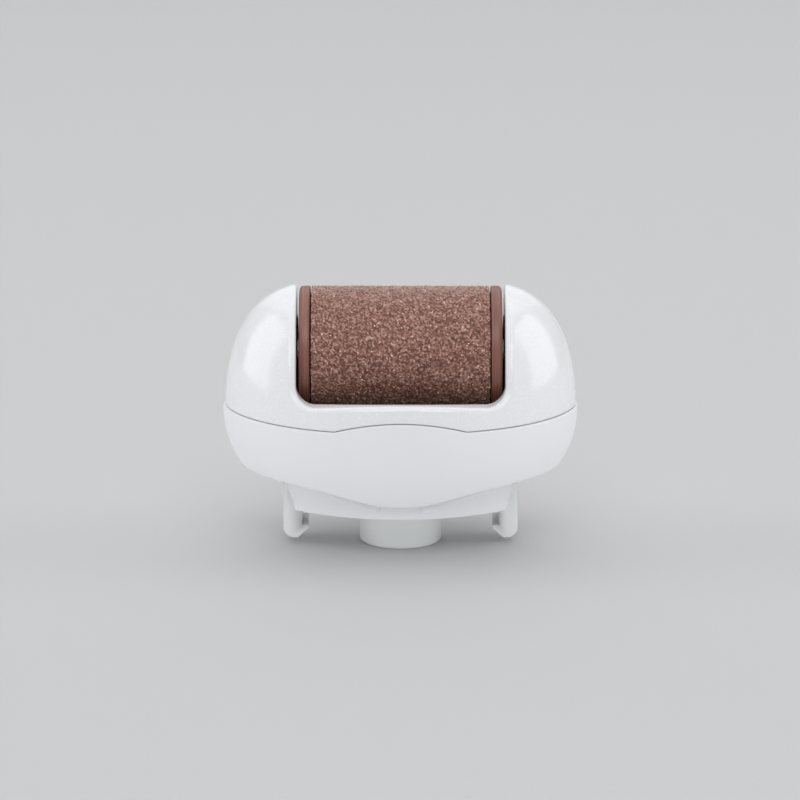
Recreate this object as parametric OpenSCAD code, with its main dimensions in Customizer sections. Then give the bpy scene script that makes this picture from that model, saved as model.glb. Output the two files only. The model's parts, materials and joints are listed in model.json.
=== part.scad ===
/* [Roller] */
// Diameter over the abrasive surface
roller_d = 25; // [23:0.5:27]
// Length of the roller over its end rims
roller_len = 37.2; // [34:0.2:42]
// Width of each smooth end rim
rim_w = 2; // [1.2:0.1:3]
// Thickness of the abrasive sleeve
sleeve_t = 1.3; // [0.8:0.1:2]
// Wall of the core tube under the sleeve
core_t = 1.7; // [1.2:0.1:2.5]
// Thickness of the hub inside each end of the core
hub_t = 2.5; // [1.5:0.1:4]
// Diameter of the axle
axle_d = 3; // [2.5:0.1:3.4]

/* [Housing] */
// Wall of both shells
wall = 1.8; // [1.4:0.1:2.2]
// Depth of the upper shell at the seam, front to back
body_d = 44; // [42:0.5:50]
// Room between the outermost gear and the shell
side_room = 2.2; // [1.8:0.1:4]
// Height of the lower shell from its underside to the seam
shell_h = 12; // [11:0.25:14]
// Height of the window sill above the seam, at its ends
sill_h = 4; // [3.6:0.1:4.6]
// Rise of the sill's arc in the middle
sill_rise = 0.95; // [0.4:0.05:1.2]
// Depth of the ledge behind the sill, in the middle
ledge_d = 2.8; // [2.6:0.1:3.4]
// Thickness of the sill
sill_t = 1.5; // [1:0.1:1.8]
// Corner radius of the roller window
window_r = 3.2; // [1.5:0.1:4]
// Height of the ears above the top of the roller
guard_rise = 0.6; // [0:0.1:1.5]
// Wall between each ear and the roller bay
ear_wall = 1.2; // [1:0.1:1.6]
// Amount by which the lower shell stands proud at the seam
seam_step = 0.35; // [0.1:0.05:0.6]
// Open seam between the two shells
seam_gap = 0.15; // [0.1:0.05:0.3]
// Width of the raised arc in the seam
arch_w = 24; // [18:0.5:30]
// Rise of that arc
arch_h = 1.8; // [0.8:0.1:2]
// Depth of the chin below the lower shell
chin_drop = 3.45; // [2:0.05:4]
// Width of the chin at half its depth
chin_w = 26.6; // [22:0.2:30]
// Rise of the bottom edge above the shell's floor towards its sides
side_rise = 0.85; // [0.4:0.05:1]
// Radius of the lower shell's bottom edge
edge_r = 0.8; // [0.6:0.1:1.6]

/* [Base] */
// Height of the round drive boss
boss_h = 7.9; // [7:0.1:9]
// Wall of the drive boss
boss_wall = 2; // [1.6:0.05:2.4]
// Height of the plinth
plinth_h = 7.9; // [7.5:0.1:10]
// Depth of the plinth, front to back
plinth_d = 30; // [28:0.5:32]
// Radius of the plinth's bowed front and back
plinth_bow_r = 31.8; // [29:0.2:40]
// Inward slant of the plinth's ends over their height
plinth_slant = 2.1; // [0.5:0.1:3]
// Wall of the plinth
plinth_wall = 1.6; // [1.2:0.1:2]
// Distance between the inner faces of the two latch arms
latch_span = 36.6; // [36:0.2:39]
// Thickness of each latch arm
latch_t = 3.4; // [2.8:0.1:3.6]
// Width of each latch arm, front to back
latch_w = 8; // [6:0.25:9]
// Reach of the hook beyond the arm
hook_reach = 1.2; // [0.5:0.1:1.4]
// Height of the hook's catching ledge above the bottom of the boss
hook_z = 3.7; // [3:0.1:4.4]
// Height of the latch tip above the bottom of the boss
tip_z = 1.3; // [0.8:0.1:1.7]

/* [Drive] */
// Teeth of the input gear
input_teeth = 24; // [22:2:28]
// Teeth of the idler gear
idler_teeth = 32; // [30:2:36]
// Teeth of the lay gear
lay_teeth = 12; // [12:1:14]
// Teeth of the bevel pinion
pinion_teeth = 12; // [12:1:14]
// Teeth of the bevel gear on the axle
bevel_teeth = 24; // [22:1:26]
// Module of the bevel pair
bevel_module = 0.45; // [0.4:0.01:0.48]
// Face width of the bevel teeth along the cone
bevel_face = 2; // [1.4:0.1:2.4]
// Thickness of the spur gears
gear_t = 2; // [1.4:0.1:2.6]
// Tooth thinning at the pitch line, one gear
backlash = 0.08; // [0.06:0.01:0.12]
// Diameter of the drive coupler
coupler_d = 9; // [8:0.1:10]
// Diameter of the socket in the coupler
socket_d = 4.4; // [4:0.1:4.8]
// Depth of that socket
socket_h = 5; // [4.2:0.1:5.4]
// Recess of the coupler above the bottom of the boss
coupler_recess = 1; // [0.5:0.1:1.5]
// Diameter of the input spindle
spindle_d = 4; // [3:0.1:4.4]
// Diameter of the lay shaft and the idler pin
shaft_d = 2; // [1.6:0.1:2.2]

/* [Frame] */
// Thickness of the gear frame plate
plate_t = 1.2; // [1:0.1:1.8]
// Thickness of the gear cover
cover_t = 1.2; // [1:0.1:1.6]
// Thickness of the bearing brackets
bracket_t = 1.5; // [1.2:0.1:2]
// Wall of the bearing bushes
bush_t = 1.1; // [0.8:0.05:1.3]
// Thickness of the dust tray
tray_t = 1; // [0.8:0.1:1.4]
// Diameter of the screws
screw_d = 2; // [1.6:0.1:2.2]
// Distance of each housing screw from the middle plane
screw_y = 8.2; // [7.8:0.1:8.6]

/* [Clearances] */
// Radial running fit of shafts in their bushes
run_fit = 0.03; // [0.02:0.01:0.06]
// Radial fit of the latch pivots
pivot_fit = 0.05; // [0.03:0.01:0.08]
// Gap between the roller's end and the ear wall
end_gap = 0.45; // [0.4:0.05:0.8]
// Gap between the roller and the dust tray
tray_gap = 0.6; // [0.5:0.05:1]
// Room between the gear cover and the dust tray
tray_room = 0.5; // [0.3:0.05:1]
// Gap above and below the spur gears
gear_gap = 0.4; // [0.3:0.05:0.6]
// Gap between pieces that stand side by side
part_gap = 0.15; // [0.1:0.01:0.25]
// Gap between the plinth and the lower shell's opening
plinth_gap = 0.3; // [0.2:0.05:0.4]

/* [Hidden] */
$fn = 64;

// Roller bay and what stands beside it, measured from the middle plane
roller_r = roller_d / 2;
axle_r = axle_d / 2;
core_r = roller_r - sleeve_t;
core_bore_r = core_r - core_t;
sleeve_gap = 0.2;
rim_inset = 0.1;
bay_half = roller_len / 2 + end_gap;
ear_x = bay_half + ear_wall;
bracket_x = ear_x + part_gap;
bracket_out_x = bracket_x + bracket_t;

// Bevel pair
pinion_r = bevel_module * pinion_teeth / 2;
bevel_r = bevel_module * bevel_teeth / 2;
bevel_back_t = 0.25;
bevel_x = bracket_out_x + part_gap + bevel_back_t;
lay_x = bevel_x + pinion_r;
cone_len = sqrt(pow(pinion_r, 2) + pow(bevel_r, 2));
cone_scale = 1 - bevel_face / cone_len;

// Spur train from the middle to the lay shaft, all on one line
gear_m = 2 * lay_x / (input_teeth + 2 * idler_teeth + lay_teeth);
addendum = 0.8;
dedendum = 1.1;
pressure_angle = 20;
input_tip_r = gear_m * (input_teeth / 2 + addendum);
idler_tip_r = gear_m * (idler_teeth / 2 + addendum);
lay_tip_r = gear_m * (lay_teeth / 2 + addendum);
idler_x = gear_m * (input_teeth + idler_teeth) / 2;
shaft_r = shaft_d / 2;

// Heights, from the bottom of the boss
floor_in_z = boss_h + plinth_h;
floor_z = floor_in_z - wall;
seam_z = floor_z + shell_h;
sill_z = seam_z + sill_h;
sill_low_z = sill_z - sill_t;
chin_z = floor_z - chin_drop;
plate_top_z = floor_in_z + plate_t;
gear_z = plate_top_z + gear_gap;
cover_z = gear_z + gear_t + gear_gap;
cover_top_z = cover_z + cover_t;
tray_in_r = roller_r + tray_gap;
tray_out_r = tray_in_r + tray_t;
roller_z = cover_top_z + tray_room + tray_out_r;
tray_end_x = ear_x - 0.3;
ear_top_z = roller_z + roller_r + guard_rise;
pinion_z = roller_z - bevel_r;

// Outer form: a dome over a rounded plan
plan_x_power = 2.3;
plan_y_power = 1.7;
dome_power = 5;
half_w = lay_x + lay_tip_r + side_room + wall;
half_d = body_d / 2;
bay_half_d = half_d - ledge_d;
bay_bow_r = 34;
sill_arc_r = (pow(bay_half - window_r, 2) + pow(sill_rise, 2)) / (2 * sill_rise);
dome_h = (ear_top_z - seam_z) / sqrt(1 - pow(bay_half / half_w, dome_power));
side_tuck = 6.96;
side_tuck_power = 2.31;
front_tuck = 5.4;
arch_r = (pow(arch_w / 2, 2) + pow(arch_h, 2)) / (2 * arch_h);
outer_points = 72;
inner_points = 48;
shell_rows = 8;

// Base
coupler_r = coupler_d / 2;
boss_bore_r = coupler_r + run_fit + bush_t;
boss_r = boss_bore_r + boss_wall;
boss_edge_r = 0.5;
neck_h = 0.5;
neck_t = 0.6;
flange_t = 1.6;
flange_r = boss_r + 3;
flange_z = boss_h + plinth_wall;
flange_top_z = flange_z + flange_t;
boss_screw_y = boss_r + 1.5;
latch_in_x = latch_span / 2;
latch_out_x = latch_in_x + latch_t;
pivot_x = latch_in_x + latch_t / 2;
pivot_r = latch_t / 2;
neck_half = 0.53 * pivot_r;
socket_r = pivot_r + pivot_fit;
socket_wall = 0.8;
socket_mouth = neck_half + 0.5;
pivot_z = floor_in_z - socket_r - socket_wall;
socket_low_z = pivot_z - sqrt(pow(socket_r, 2) - pow(socket_mouth, 2));
shoulder_z = socket_low_z - 0.4;
socket_half = socket_r + socket_wall;
plinth_half_w = latch_out_x - 0.2;
plinth_slant_h = 5.3;
latch_slot_x = pivot_x - socket_half - plinth_gap;
latch_slot_out_x = pivot_x + socket_half + plinth_gap;
plinth_post_r = 2.2;
plinth_post_y = 6.6;
plinth_post_x = sqrt(pow(flange_r + plinth_post_r + part_gap, 2) - pow(plinth_post_y, 2));
pilot_h = 3;

// Screws and posts
screw_r = screw_d / 2;
head_r = 1.8 * screw_r;
head_h = 0.9;
head_sink = 0.1;
housing_sink = 0.4;
head_gap = 0.15;
screw_relief_r = head_r + head_gap + 2 * plinth_gap;
screw_grip = 6;
screw_hole_r = screw_r + 0.15;
pilot_r = screw_r;
post_r = 2;
post_x = ear_x + post_r - 0.1;
post_top_z = roller_z - 2;
bracket_pilot_z = floor_in_z - 0.6;
cover_post_r = 1.3;
cover_post_out = (input_tip_r + cover_post_r + 0.8) * cos(45);
lay_post_x = lay_x + 0.4;
lay_post_y = lay_tip_r + cover_post_r + 0.2;
cover_screw_r = 0.7;
cover_head_r = 1.3;
cover_hole_r = cover_screw_r + 0.15;
cover_screw_len = 3.4;

// Bearings
axle_bush_r = axle_r + run_fit + bush_t;
flange_lip = 0.5;
shaft_bush_r = shaft_r + run_fit + bush_t;
spindle_r = spindle_d / 2;
spindle_bush_r = spindle_r + run_fit + bush_t;
bracket_half = axle_bush_r + 1.9;
bracket_foot_t = 1.2;
bracket_foot_half = screw_y - post_r - part_gap;
bracket_screw_y = 3.6;
shelf_t = 1.6;
shelf_half = shaft_bush_r + 1.3;
bush_lip_t = 0.25;
hub_len = 1.3;
shelf_top_z = pinion_z - hub_len - part_gap - bush_lip_t;
axle_slot_half = axle_bush_r + flange_lip + 0.2;
spacer_t = 1;
spacer_sink = 0.3;
clip_t = 0.6;
clip_ring = 1.5;
seal_r = roller_z - sill_low_z - 0.2;
seal_t = 0.7;
seal_sink = 0.1;
coupler_seal_z = coupler_recess + 0.3;
coupler_seal_h = 1.5;
seal_top_z = coupler_seal_z + coupler_seal_h;

// Colours as photographed, with plain metal and plastic tones for what lies inside
pearl = [0.93, 0.93, 0.94];
satin = [0.88, 0.885, 0.9];
natural = [0.82, 0.84, 0.835];
grit = [0.5, 0.36, 0.32];
rim_brown = [0.48, 0.28, 0.22];
dark = [0.12, 0.12, 0.13];
frame_grey = [0.45, 0.46, 0.48];
steel = [0.7, 0.71, 0.73];
bronze = [0.68, 0.5, 0.3];
gear_white = [0.9, 0.88, 0.8];

function signed_pow(v, p) = sign(v) * pow(abs(v), p);
function plan_point(a, d, t) = [
    a * signed_pow(cos(t), 2 / plan_x_power),
    d * signed_pow(sin(t), 2 / plan_y_power)
];
function plan_outline(a, d, n) = [for (i = [0 : n - 1]) plan_point(a, d, 360 * i / n)];

// Height of the seam's raised arc, and of the bottom edge, at a distance from the middle plane
function arch(x) = abs(x) < arch_w / 2 ? sqrt(pow(arch_r, 2) - pow(x, 2)) - arch_r + arch_h : 0;
function bottom_edge(x) = floor_z + side_rise - (chin_drop + side_rise) / (1 + pow(2 * abs(x) / chin_w, 3));

// One ring of the dome, inset from the outer form and starting at a given height
function dome_point(t, z, inset) =
    let (v = max(0, (z - seam_z) / (dome_h - inset)))
    let (w = (half_w - inset) * pow(1 - pow(v, 2), 1 / dome_power))
    let (d = (half_d - inset) * sqrt(1 - pow(v, 2)))
    let (p = plan_point(w, d, t))
    [p[0], p[1], z];
function dome_ring(phi, n, inset) = [
    for (i = [0 : n - 1]) dome_point(360 * i / n, seam_z + (dome_h - inset) * sin(phi), inset)
];
function seam_ring(n) = [
    for (i = [0 : n - 1])
        let (x = plan_point(half_w, half_d, 360 * i / n)[0])
        dome_point(360 * i / n, seam_z + seam_gap + arch(x), 0)
];

// One ring of the lower shell: share 0 is the rim and 1 the bottom edge
function lower_point(t, z, inset) =
    let (u = max(0, (seam_z - z) / (seam_z - chin_z)))
    let (w = half_w + seam_step - inset - side_tuck * pow(u, side_tuck_power))
    let (d = half_d + seam_step - inset - front_tuck * pow(u, 2))
    let (p = plan_point(w, d, t))
    [p[0], p[1], z];
function lower_ring(share, lift, inset, n) = [
    for (i = [0 : n - 1])
        let (x = plan_point(half_w, half_d, 360 * i / n)[0])
        let (rim = seam_z + arch(x))
        let (low = bottom_edge(x) + lift)
        lower_point(360 * i / n, rim + (low - rim) * share, inset)
];
function flat_ring(z, inset, n) = [for (i = [0 : n - 1]) lower_point(360 * i / n, z, inset)];

// Solid through a stack of rings, lowest first, closed with a fan at each end
module loft(rings, low, high) {
    n = len(rings[0]);
    rows = len(rings);
    points = concat([for (ring = rings) each ring], [low, high]);
    sides = [
        for (j = [0 : rows - 2], i = [0 : n - 1])
            let (a = j * n + i, b = j * n + (i + 1) % n)
            each [[a, a + n, b + n], [a, b + n, b]]
    ];
    low_fan = [for (i = [0 : n - 1]) [n * rows, i, (i + 1) % n]];
    high_fan = [for (i = [0 : n - 1]) let (k = n * (rows - 1)) [n * rows + 1, k + (i + 1) % n, k + i]];
    polyhedron(points, concat(sides, low_fan, high_fan), convexity = 10);
}

// Cylinder along X from one place to another
module x_rod(r, x0, x1) {
    translate([x0, 0, 0]) rotate([0, 90, 0]) cylinder(r = r, h = x1 - x0);
}

module x_tube(r, bore, x0, x1) {
    difference() {
        x_rod(r, x0, x1);
        x_rod(bore, x0 - 1, x1 + 1);
    }
}

module tube(r, bore, z0, z1) {
    translate([0, 0, z0]) difference() {
        cylinder(r = r, h = z1 - z0);
        translate([0, 0, -1]) cylinder(r = bore, h = z1 - z0 + 2);
    }
}

module pin(r, z0, z1) {
    translate([0, 0, z0]) cylinder(r = r, h = z1 - z0);
}

// Box centred on the middle plane front to back
module slab(x0, x1, half, z0, z1) {
    translate([x0, -half, z0]) cube([x1 - x0, 2 * half, z1 - z0]);
}

module both_sides() {
    for (side = [0, 1]) mirror([side, 0, 0]) children();
}

module four_corners(x, y) {
    for (sx = [-1, 1], sy = [-1, 1]) translate([sx * x, sy * y, 0]) children();
}

// Round-headed screw pointing up, with a cross recess in its head
module screw(r, wide, length) {
    recess = 0.5;
    difference() {
        union() {
            cylinder(r = wide, h = head_h);
            cylinder(r = r, h = length);
        }
        for (a = [0, 90]) rotate([0, 0, a]) translate([-0.65 * wide, -0.2, -1])
            cube([1.3 * wide, 0.4, 1 + recess]);
    }
}

// Plan of the roller bay between the ears, grown outwards by a lap
module bay_plan(half, lap) {
    bow_y = bay_bow_r - bay_half_d;
    intersection() {
        translate([0, bow_y]) circle(r = bay_bow_r + lap);
        translate([0, -bow_y]) circle(r = bay_bow_r + lap);
        square([2 * half, body_d * 2], center = true);
    }
}

// Upper housing: pearl dome with two ears and the roller window between them
module roller_window() {
    low = sill_z + window_r;
    rotate([90, 0, 0]) linear_extrude(height = body_d + 20, center = true) difference() {
        union() {
            translate([-bay_half, low]) square([2 * bay_half, ear_top_z + 10 - low]);
            translate([-bay_half + window_r, sill_z]) square([2 * (bay_half - window_r), window_r + 1]);
            for (s = [-1, 1]) translate([s * (bay_half - window_r), low]) circle(r = window_r);
        }
        translate([0, sill_z + sill_rise - sill_arc_r]) circle(r = sill_arc_r);
    }
    translate([0, 0, sill_low_z - 1]) linear_extrude(height = ear_top_z) bay_plan(bay_half, 0);
}

module dome_solid() {
    steps = [6, 12, 18, 24, 30, 37, 44, 51, 57, 63, 68, 72, 75, 78, 81];
    rings = concat([seam_ring(outer_points)], [for (phi = steps) dome_ring(phi, outer_points, 0)]);
    loft(rings, [0, 0, seam_z + seam_gap], [0, 0, seam_z + dome_h * sin(81)]);
}

module dome_cavity() {
    steps = [0, 10, 20, 30, 40, 50, 59, 67, 73, 78];
    base = [for (i = [0 : inner_points - 1]) dome_point(360 * i / inner_points, seam_z - 2, wall)];
    rings = concat([base], [for (phi = steps) dome_ring(phi, inner_points, wall)]);
    difference() {
        loft(rings, [0, 0, seam_z - 2], [0, 0, seam_z + (dome_h - wall) * sin(78)]);
        slab(-ear_x, ear_x, half_d, sill_low_z, ear_top_z + 5);
    }
}

module upper_housing() {
    color(pearl) difference() {
        union() {
            difference() {
                dome_solid();
                dome_cavity();
                roller_window();
            }
            four_corners(post_x, screw_y) pin(post_r, plate_top_z, post_top_z);
        }
        both_sides() {
            slab(bay_half - 1, ear_x + 0.05, axle_slot_half, sill_low_z - 1, roller_z);
            translate([0, 0, roller_z]) x_rod(axle_slot_half, bay_half - 1, ear_x + 0.05);
            translate([0, 0, roller_z]) x_rod(seal_r + part_gap, bay_half - 1, bay_half - seal_sink + seal_t);
        }
        four_corners(post_x, screw_y) pin(pilot_r, plate_top_z - 1, post_top_z - 2);
    }
}

// Plan of the plinth, grown outwards by a gap and relieved around the housing screws
module plinth_plan(grow) {
    bow_y = plinth_bow_r - plinth_d / 2;
    difference() {
        intersection() {
            translate([0, bow_y]) circle(r = plinth_bow_r + grow);
            translate([0, -bow_y]) circle(r = plinth_bow_r + grow);
            square([2 * (plinth_half_w + grow), plinth_d * 2], center = true);
        }
        four_corners(post_x, screw_y) circle(r = screw_relief_r - grow);
    }
}

// Lower housing: satin shell with a chin at the front and back and an opening for the plinth
module lower_solid() {
    round_steps = [90, 55, 25];
    rounding = [
        for (a = round_steps)
            lower_ring(1, edge_r * (1 - sin(a)), edge_r * (1 - cos(a)), outer_points)
    ];
    sides = [for (k = [shell_rows : -1 : 0]) lower_ring(k / shell_rows, edge_r, 0, outer_points)];
    loft(concat(rounding, sides), [0, 0, floor_z], [0, 0, seam_z]);
}

module lower_cavity() {
    heights = [0, 0.15, 0.3, 0.5, 0.75, 1];
    top = seam_z + arch_h + 2;
    inset = wall + seam_step;
    rings = [for (h = heights) flat_ring(floor_in_z + (top - floor_in_z) * h, inset, inner_points)];
    loft(rings, [0, 0, floor_in_z], [0, 0, top]);
}

module lower_housing() {
    color(satin) difference() {
        lower_solid();
        lower_cavity();
        translate([0, 0, chin_z - 1]) linear_extrude(height = plinth_h + 5) plinth_plan(plinth_gap);
        both_sides() slab(latch_slot_x, latch_slot_out_x, latch_w / 2 + plinth_gap, chin_z, floor_in_z + 1);
        four_corners(post_x, screw_y) {
            pin(screw_hole_r, chin_z, floor_in_z + 1);
            pin(head_r + head_gap, chin_z, floor_z + housing_sink + head_h);
        }
        right_bracket_screws() pin(cover_screw_r, bracket_pilot_z, floor_in_z + 1);
    }
}

// Plinth: hollow foot with slanted ends, cut away where the latch arms hang
module plinth_ends() {
    rotate([90, 0, 0]) linear_extrude(height = plinth_d + 10, center = true) polygon([
        [-plinth_half_w + plinth_slant, boss_h],
        [plinth_half_w - plinth_slant, boss_h],
        [plinth_half_w, boss_h + plinth_slant_h],
        [plinth_half_w, floor_in_z],
        [-plinth_half_w, floor_in_z],
        [-plinth_half_w, boss_h + plinth_slant_h]
    ]);
}

module mounting_plinth() {
    post_top = floor_in_z - pilot_h;
    color(satin) difference() {
        union() {
            difference() {
                intersection() {
                    translate([0, 0, boss_h]) linear_extrude(height = plinth_h) plinth_plan(0);
                    plinth_ends();
                }
                translate([0, 0, flange_z]) linear_extrude(height = plinth_h) intersection() {
                    plinth_plan(-plinth_wall);
                    square([2 * (plinth_half_w - plinth_slant - plinth_wall), plinth_d], center = true);
                }
            }
            four_corners(plinth_post_x, plinth_post_y) pin(plinth_post_r, boss_h + 0.5, post_top);
        }
        pin(boss_r + part_gap, boss_h - 1, flange_z + 1);
        both_sides() slab(latch_slot_x, latch_slot_out_x, latch_w / 2 + plinth_gap, 0, floor_in_z + 1);
        four_corners(plinth_post_x, plinth_post_y) {
            pin(screw_hole_r, boss_h - 1, post_top + 1);
            pin(head_r + head_gap, boss_h - 1, boss_h + head_sink + head_h);
        }
        boss_screw_places() {
            pin(cover_hole_r, boss_h - 1, flange_z + 1);
            pin(cover_head_r + head_gap, boss_h - 1, boss_h + head_sink + head_h);
        }
    }
}

// Drive boss: round nose that locates the head, with a flange inside the plinth
module drive_boss() {
    edge = [for (a = [0 : 15 : 90]) [boss_r - boss_edge_r * (1 - sin(a)), boss_edge_r * (1 - cos(a))]];
    neck = [
        [boss_r, boss_h - neck_h],
        [boss_r - neck_t, boss_h - neck_h],
        [boss_r - neck_t, flange_top_z]
    ];
    color(natural) difference() {
        union() {
            rotate_extrude() polygon(concat([[0, 0]], edge, neck, [[0, flange_top_z]]));
            pin(flange_r, flange_z, flange_top_z);
            boss_screw_places() pin(2 * cover_screw_r, flange_z, flange_top_z + 1.8);
        }
        pin(boss_bore_r, -1, flange_top_z + 1);
        boss_screw_places() pin(cover_screw_r, flange_z - 1, flange_top_z + 1.2);
    }
}

module boss_screw_places() {
    for (s = [-1, 1]) translate([0, s * boss_screw_y, 0]) children();
}

// Latch arm for the right side: a hook hanging from a round bead
module latch_arm() {
    tip_r = 2;
    hook_land = 0.6;
    hook_slant = 1.9;
    hook_x = latch_in_x - hook_reach;
    color(natural) rotate([90, 0, 0]) linear_extrude(height = latch_w, center = true) union() {
        polygon(concat(
            [
                [pivot_x + neck_half, pivot_z],
                [pivot_x - neck_half, pivot_z],
                [pivot_x - neck_half, shoulder_z],
                [latch_in_x, shoulder_z],
                [latch_in_x, hook_z],
                [hook_x, hook_z],
                [hook_x, hook_z - hook_land],
                [hook_x + hook_slant, tip_z]
            ],
            [for (a = [0 : 15 : 90]) [latch_out_x - tip_r * (1 - sin(a)), tip_z + tip_r * (1 - cos(a))]],
            [[latch_out_x, shoulder_z], [pivot_x + neck_half, shoulder_z]]
        ));
        translate([pivot_x, pivot_z]) circle(r = pivot_r);
    }
}

module left_latch_arm() {
    mirror([1, 0, 0]) latch_arm();
}

module right_latch_arm() {
    latch_arm();
}

// Dust tray: dark trough under the roller, held between the sill and the gear cover
module dust_tray() {
    flange_lap = 0.5;
    color(dark) difference() {
        union() {
            intersection() {
                translate([0, 0, roller_z]) x_rod(tray_out_r, -tray_end_x, tray_end_x);
                slab(-ear_x, ear_x, tray_out_r + 1, cover_top_z, sill_low_z);
            }
            translate([0, 0, sill_low_z - tray_t]) linear_extrude(height = tray_t)
                bay_plan(tray_end_x, flange_lap);
            both_sides() slab(8, 12, 3, cover_top_z, cover_top_z + tray_room + 0.3);
        }
        translate([0, 0, roller_z]) x_rod(tray_in_r, -bay_half, bay_half);
    }
}

module dust_seals() {
    color(dark) both_sides() translate([0, 0, roller_z])
        x_tube(seal_r, axle_slot_half, bay_half - seal_sink, bay_half - seal_sink + seal_t);
}

// Gear frame: plate on the lower shell's floor, with posts above and latch sockets below
module gear_frame() {
    plan = lower_point(0, floor_in_z, wall + seam_step + plinth_gap)[0];
    deep = lower_point(90, floor_in_z, wall + seam_step + plinth_gap)[1];
    color(frame_grey) difference() {
        union() {
            translate([0, 0, floor_in_z]) linear_extrude(height = plate_t)
                polygon(plan_outline(plan, deep, inner_points));
            both_sides() translate([pivot_x, 0, 0])
                slab(-socket_half, socket_half, latch_w / 2, socket_low_z, plate_top_z);
            four_corners(plinth_post_x, plinth_post_y) pin(plinth_post_r, floor_in_z - pilot_h, plate_top_z);
            cover_posts() pin(cover_post_r, plate_top_z - plate_t / 2, cover_z);
        }
        both_sides() {
            translate([pivot_x, 0, pivot_z]) rotate([90, 0, 0])
                cylinder(r = socket_r, h = latch_w + 2, center = true);
            slab(pivot_x - socket_mouth, pivot_x + socket_mouth, latch_w, socket_low_z - 1, pivot_z);
        }
        four_corners(plinth_post_x, plinth_post_y) pin(pilot_r, floor_in_z - pilot_h - 1, plate_top_z - 0.3);
        four_corners(post_x, screw_y) pin(screw_hole_r, floor_in_z - 1, plate_top_z + 1);
        cover_posts() pin(cover_screw_r, cover_z - cover_screw_len + head_h, cover_z + 1);
        pin(spindle_r + 0.6, floor_in_z - 1, plate_top_z + 1);
        translate([-idler_x, 0, 0]) pin(shaft_r, floor_in_z - 1, plate_top_z + 1);
        translate([-lay_x, 0, 0]) pin(shaft_bush_r, floor_in_z - 1, plate_top_z + 1);
        right_bracket_screws() pin(cover_screw_r, floor_in_z - 1, plate_top_z + 1);
    }
}

module right_bracket_screws() {
    for (s = [-1, 1]) translate([lay_x, s * bracket_screw_y, 0]) children();
}

module cover_posts() {
    for (s = [-1, 1]) {
        translate([cover_post_out, s * cover_post_out, 0]) children();
        translate([-lay_post_x, s * lay_post_y, 0]) children();
    }
}

// Gear cover: flat plate over the spur train
module gear_cover() {
    rim = 0.8;
    color(frame_grey) difference() {
        translate([0, 0, cover_z]) linear_extrude(height = cover_t) union() {
            circle(r = input_tip_r + rim);
            translate([-idler_x, 0]) circle(r = idler_tip_r + rim);
            translate([-lay_post_x - 2, -bracket_foot_half]) square([lay_post_x + 2, 2 * bracket_foot_half]);
            for (s = [-1, 1]) translate([cover_post_out, s * cover_post_out]) circle(r = cover_post_r + rim);
        }
        cover_posts() pin(cover_hole_r, cover_z - 1, cover_top_z + 1);
        pin(spindle_bush_r, cover_z - 1, cover_top_z + 1);
        translate([-idler_x, 0, 0]) pin(shaft_r, cover_z - 1, cover_top_z + 1);
        translate([-lay_x, 0, 0]) pin(shaft_r + 0.6, cover_z - 1, cover_top_z + 1);
    }
}

// Upright of a bearing bracket on the right side, standing on a given height
module bracket_upright(foot_z) {
    difference() {
        union() {
            slab(bracket_x, bracket_out_x, bracket_half, foot_z, roller_z);
            translate([0, 0, roller_z]) x_rod(bracket_half, bracket_x, bracket_out_x);
        }
        translate([0, 0, roller_z]) x_rod(axle_bush_r, bracket_x - 1, bracket_out_x + 1);
    }
}

// Left bracket: stands on the gear cover and carries a shelf for the lay shaft
module left_bracket() {
    color(frame_grey) difference() {
        union() {
            mirror([1, 0, 0]) bracket_upright(cover_top_z);
            slab(-lay_post_x - 2, -bracket_x, bracket_foot_half, cover_top_z, cover_top_z + bracket_foot_t);
            slab(-lay_x, -bracket_x, shelf_half, shelf_top_z - shelf_t, shelf_top_z);
            translate([-lay_x, 0, 0]) pin(shelf_half, shelf_top_z - shelf_t, shelf_top_z);
        }
        translate([-lay_x, 0, 0]) {
            pin(shaft_r + 0.6, cover_top_z - 1, shelf_top_z - shelf_t - 0.5);
            pin(shaft_bush_r, shelf_top_z - shelf_t - 1, shelf_top_z + 1);
        }
        for (s = [-1, 1]) translate([-lay_post_x, s * lay_post_y, 0])
            pin(cover_hole_r, cover_top_z - 1, cover_top_z + bracket_foot_t + 1);
    }
}

// Right bracket: stands on the gear frame
module right_bracket() {
    color(frame_grey) difference() {
        union() {
            bracket_upright(plate_top_z);
            slab(bracket_x, lay_x + 1.8, bracket_foot_half, plate_top_z, plate_top_z + bracket_foot_t);
        }
        right_bracket_screws() pin(cover_hole_r, plate_top_z - 1, plate_top_z + bracket_foot_t + 1);
    }
}

// Roller: core with rims, abrasive sleeve, two hubs and the axle that turns with them
module roller_core() {
    rim_r = roller_r - rim_inset;
    rim_edge = 0.3;
    x1 = roller_len / 2;
    x2 = x1 - rim_w;
    color(rim_brown) translate([0, 0, roller_z]) rotate([0, 90, 0]) rotate_extrude() polygon([
        [core_bore_r, -x1],
        [rim_r - rim_edge, -x1],
        [rim_r, -x1 + rim_edge],
        [rim_r, -x2],
        [core_r, -x2],
        [core_r, x2],
        [rim_r, x2],
        [rim_r, x1 - rim_edge],
        [rim_r - rim_edge, x1],
        [core_bore_r, x1]
    ]);
}

module abrasive_sleeve() {
    half = roller_len / 2 - rim_w - sleeve_gap;
    color(grit) translate([0, 0, roller_z]) x_tube(roller_r, core_r, -half, half);
}

module roller_hub() {
    x1 = roller_len / 2;
    translate([0, 0, roller_z]) {
        x_tube(core_bore_r, axle_r, x1 - hub_t - 0.3, x1 - 0.3);
        x_tube(axle_r + 2, axle_r, x1 - 2 * hub_t - 0.3, x1 - hub_t - 0.3);
    }
}

module left_roller_hub() {
    color(dark) mirror([1, 0, 0]) roller_hub();
}

module right_roller_hub() {
    color(dark) roller_hub();
}

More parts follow.
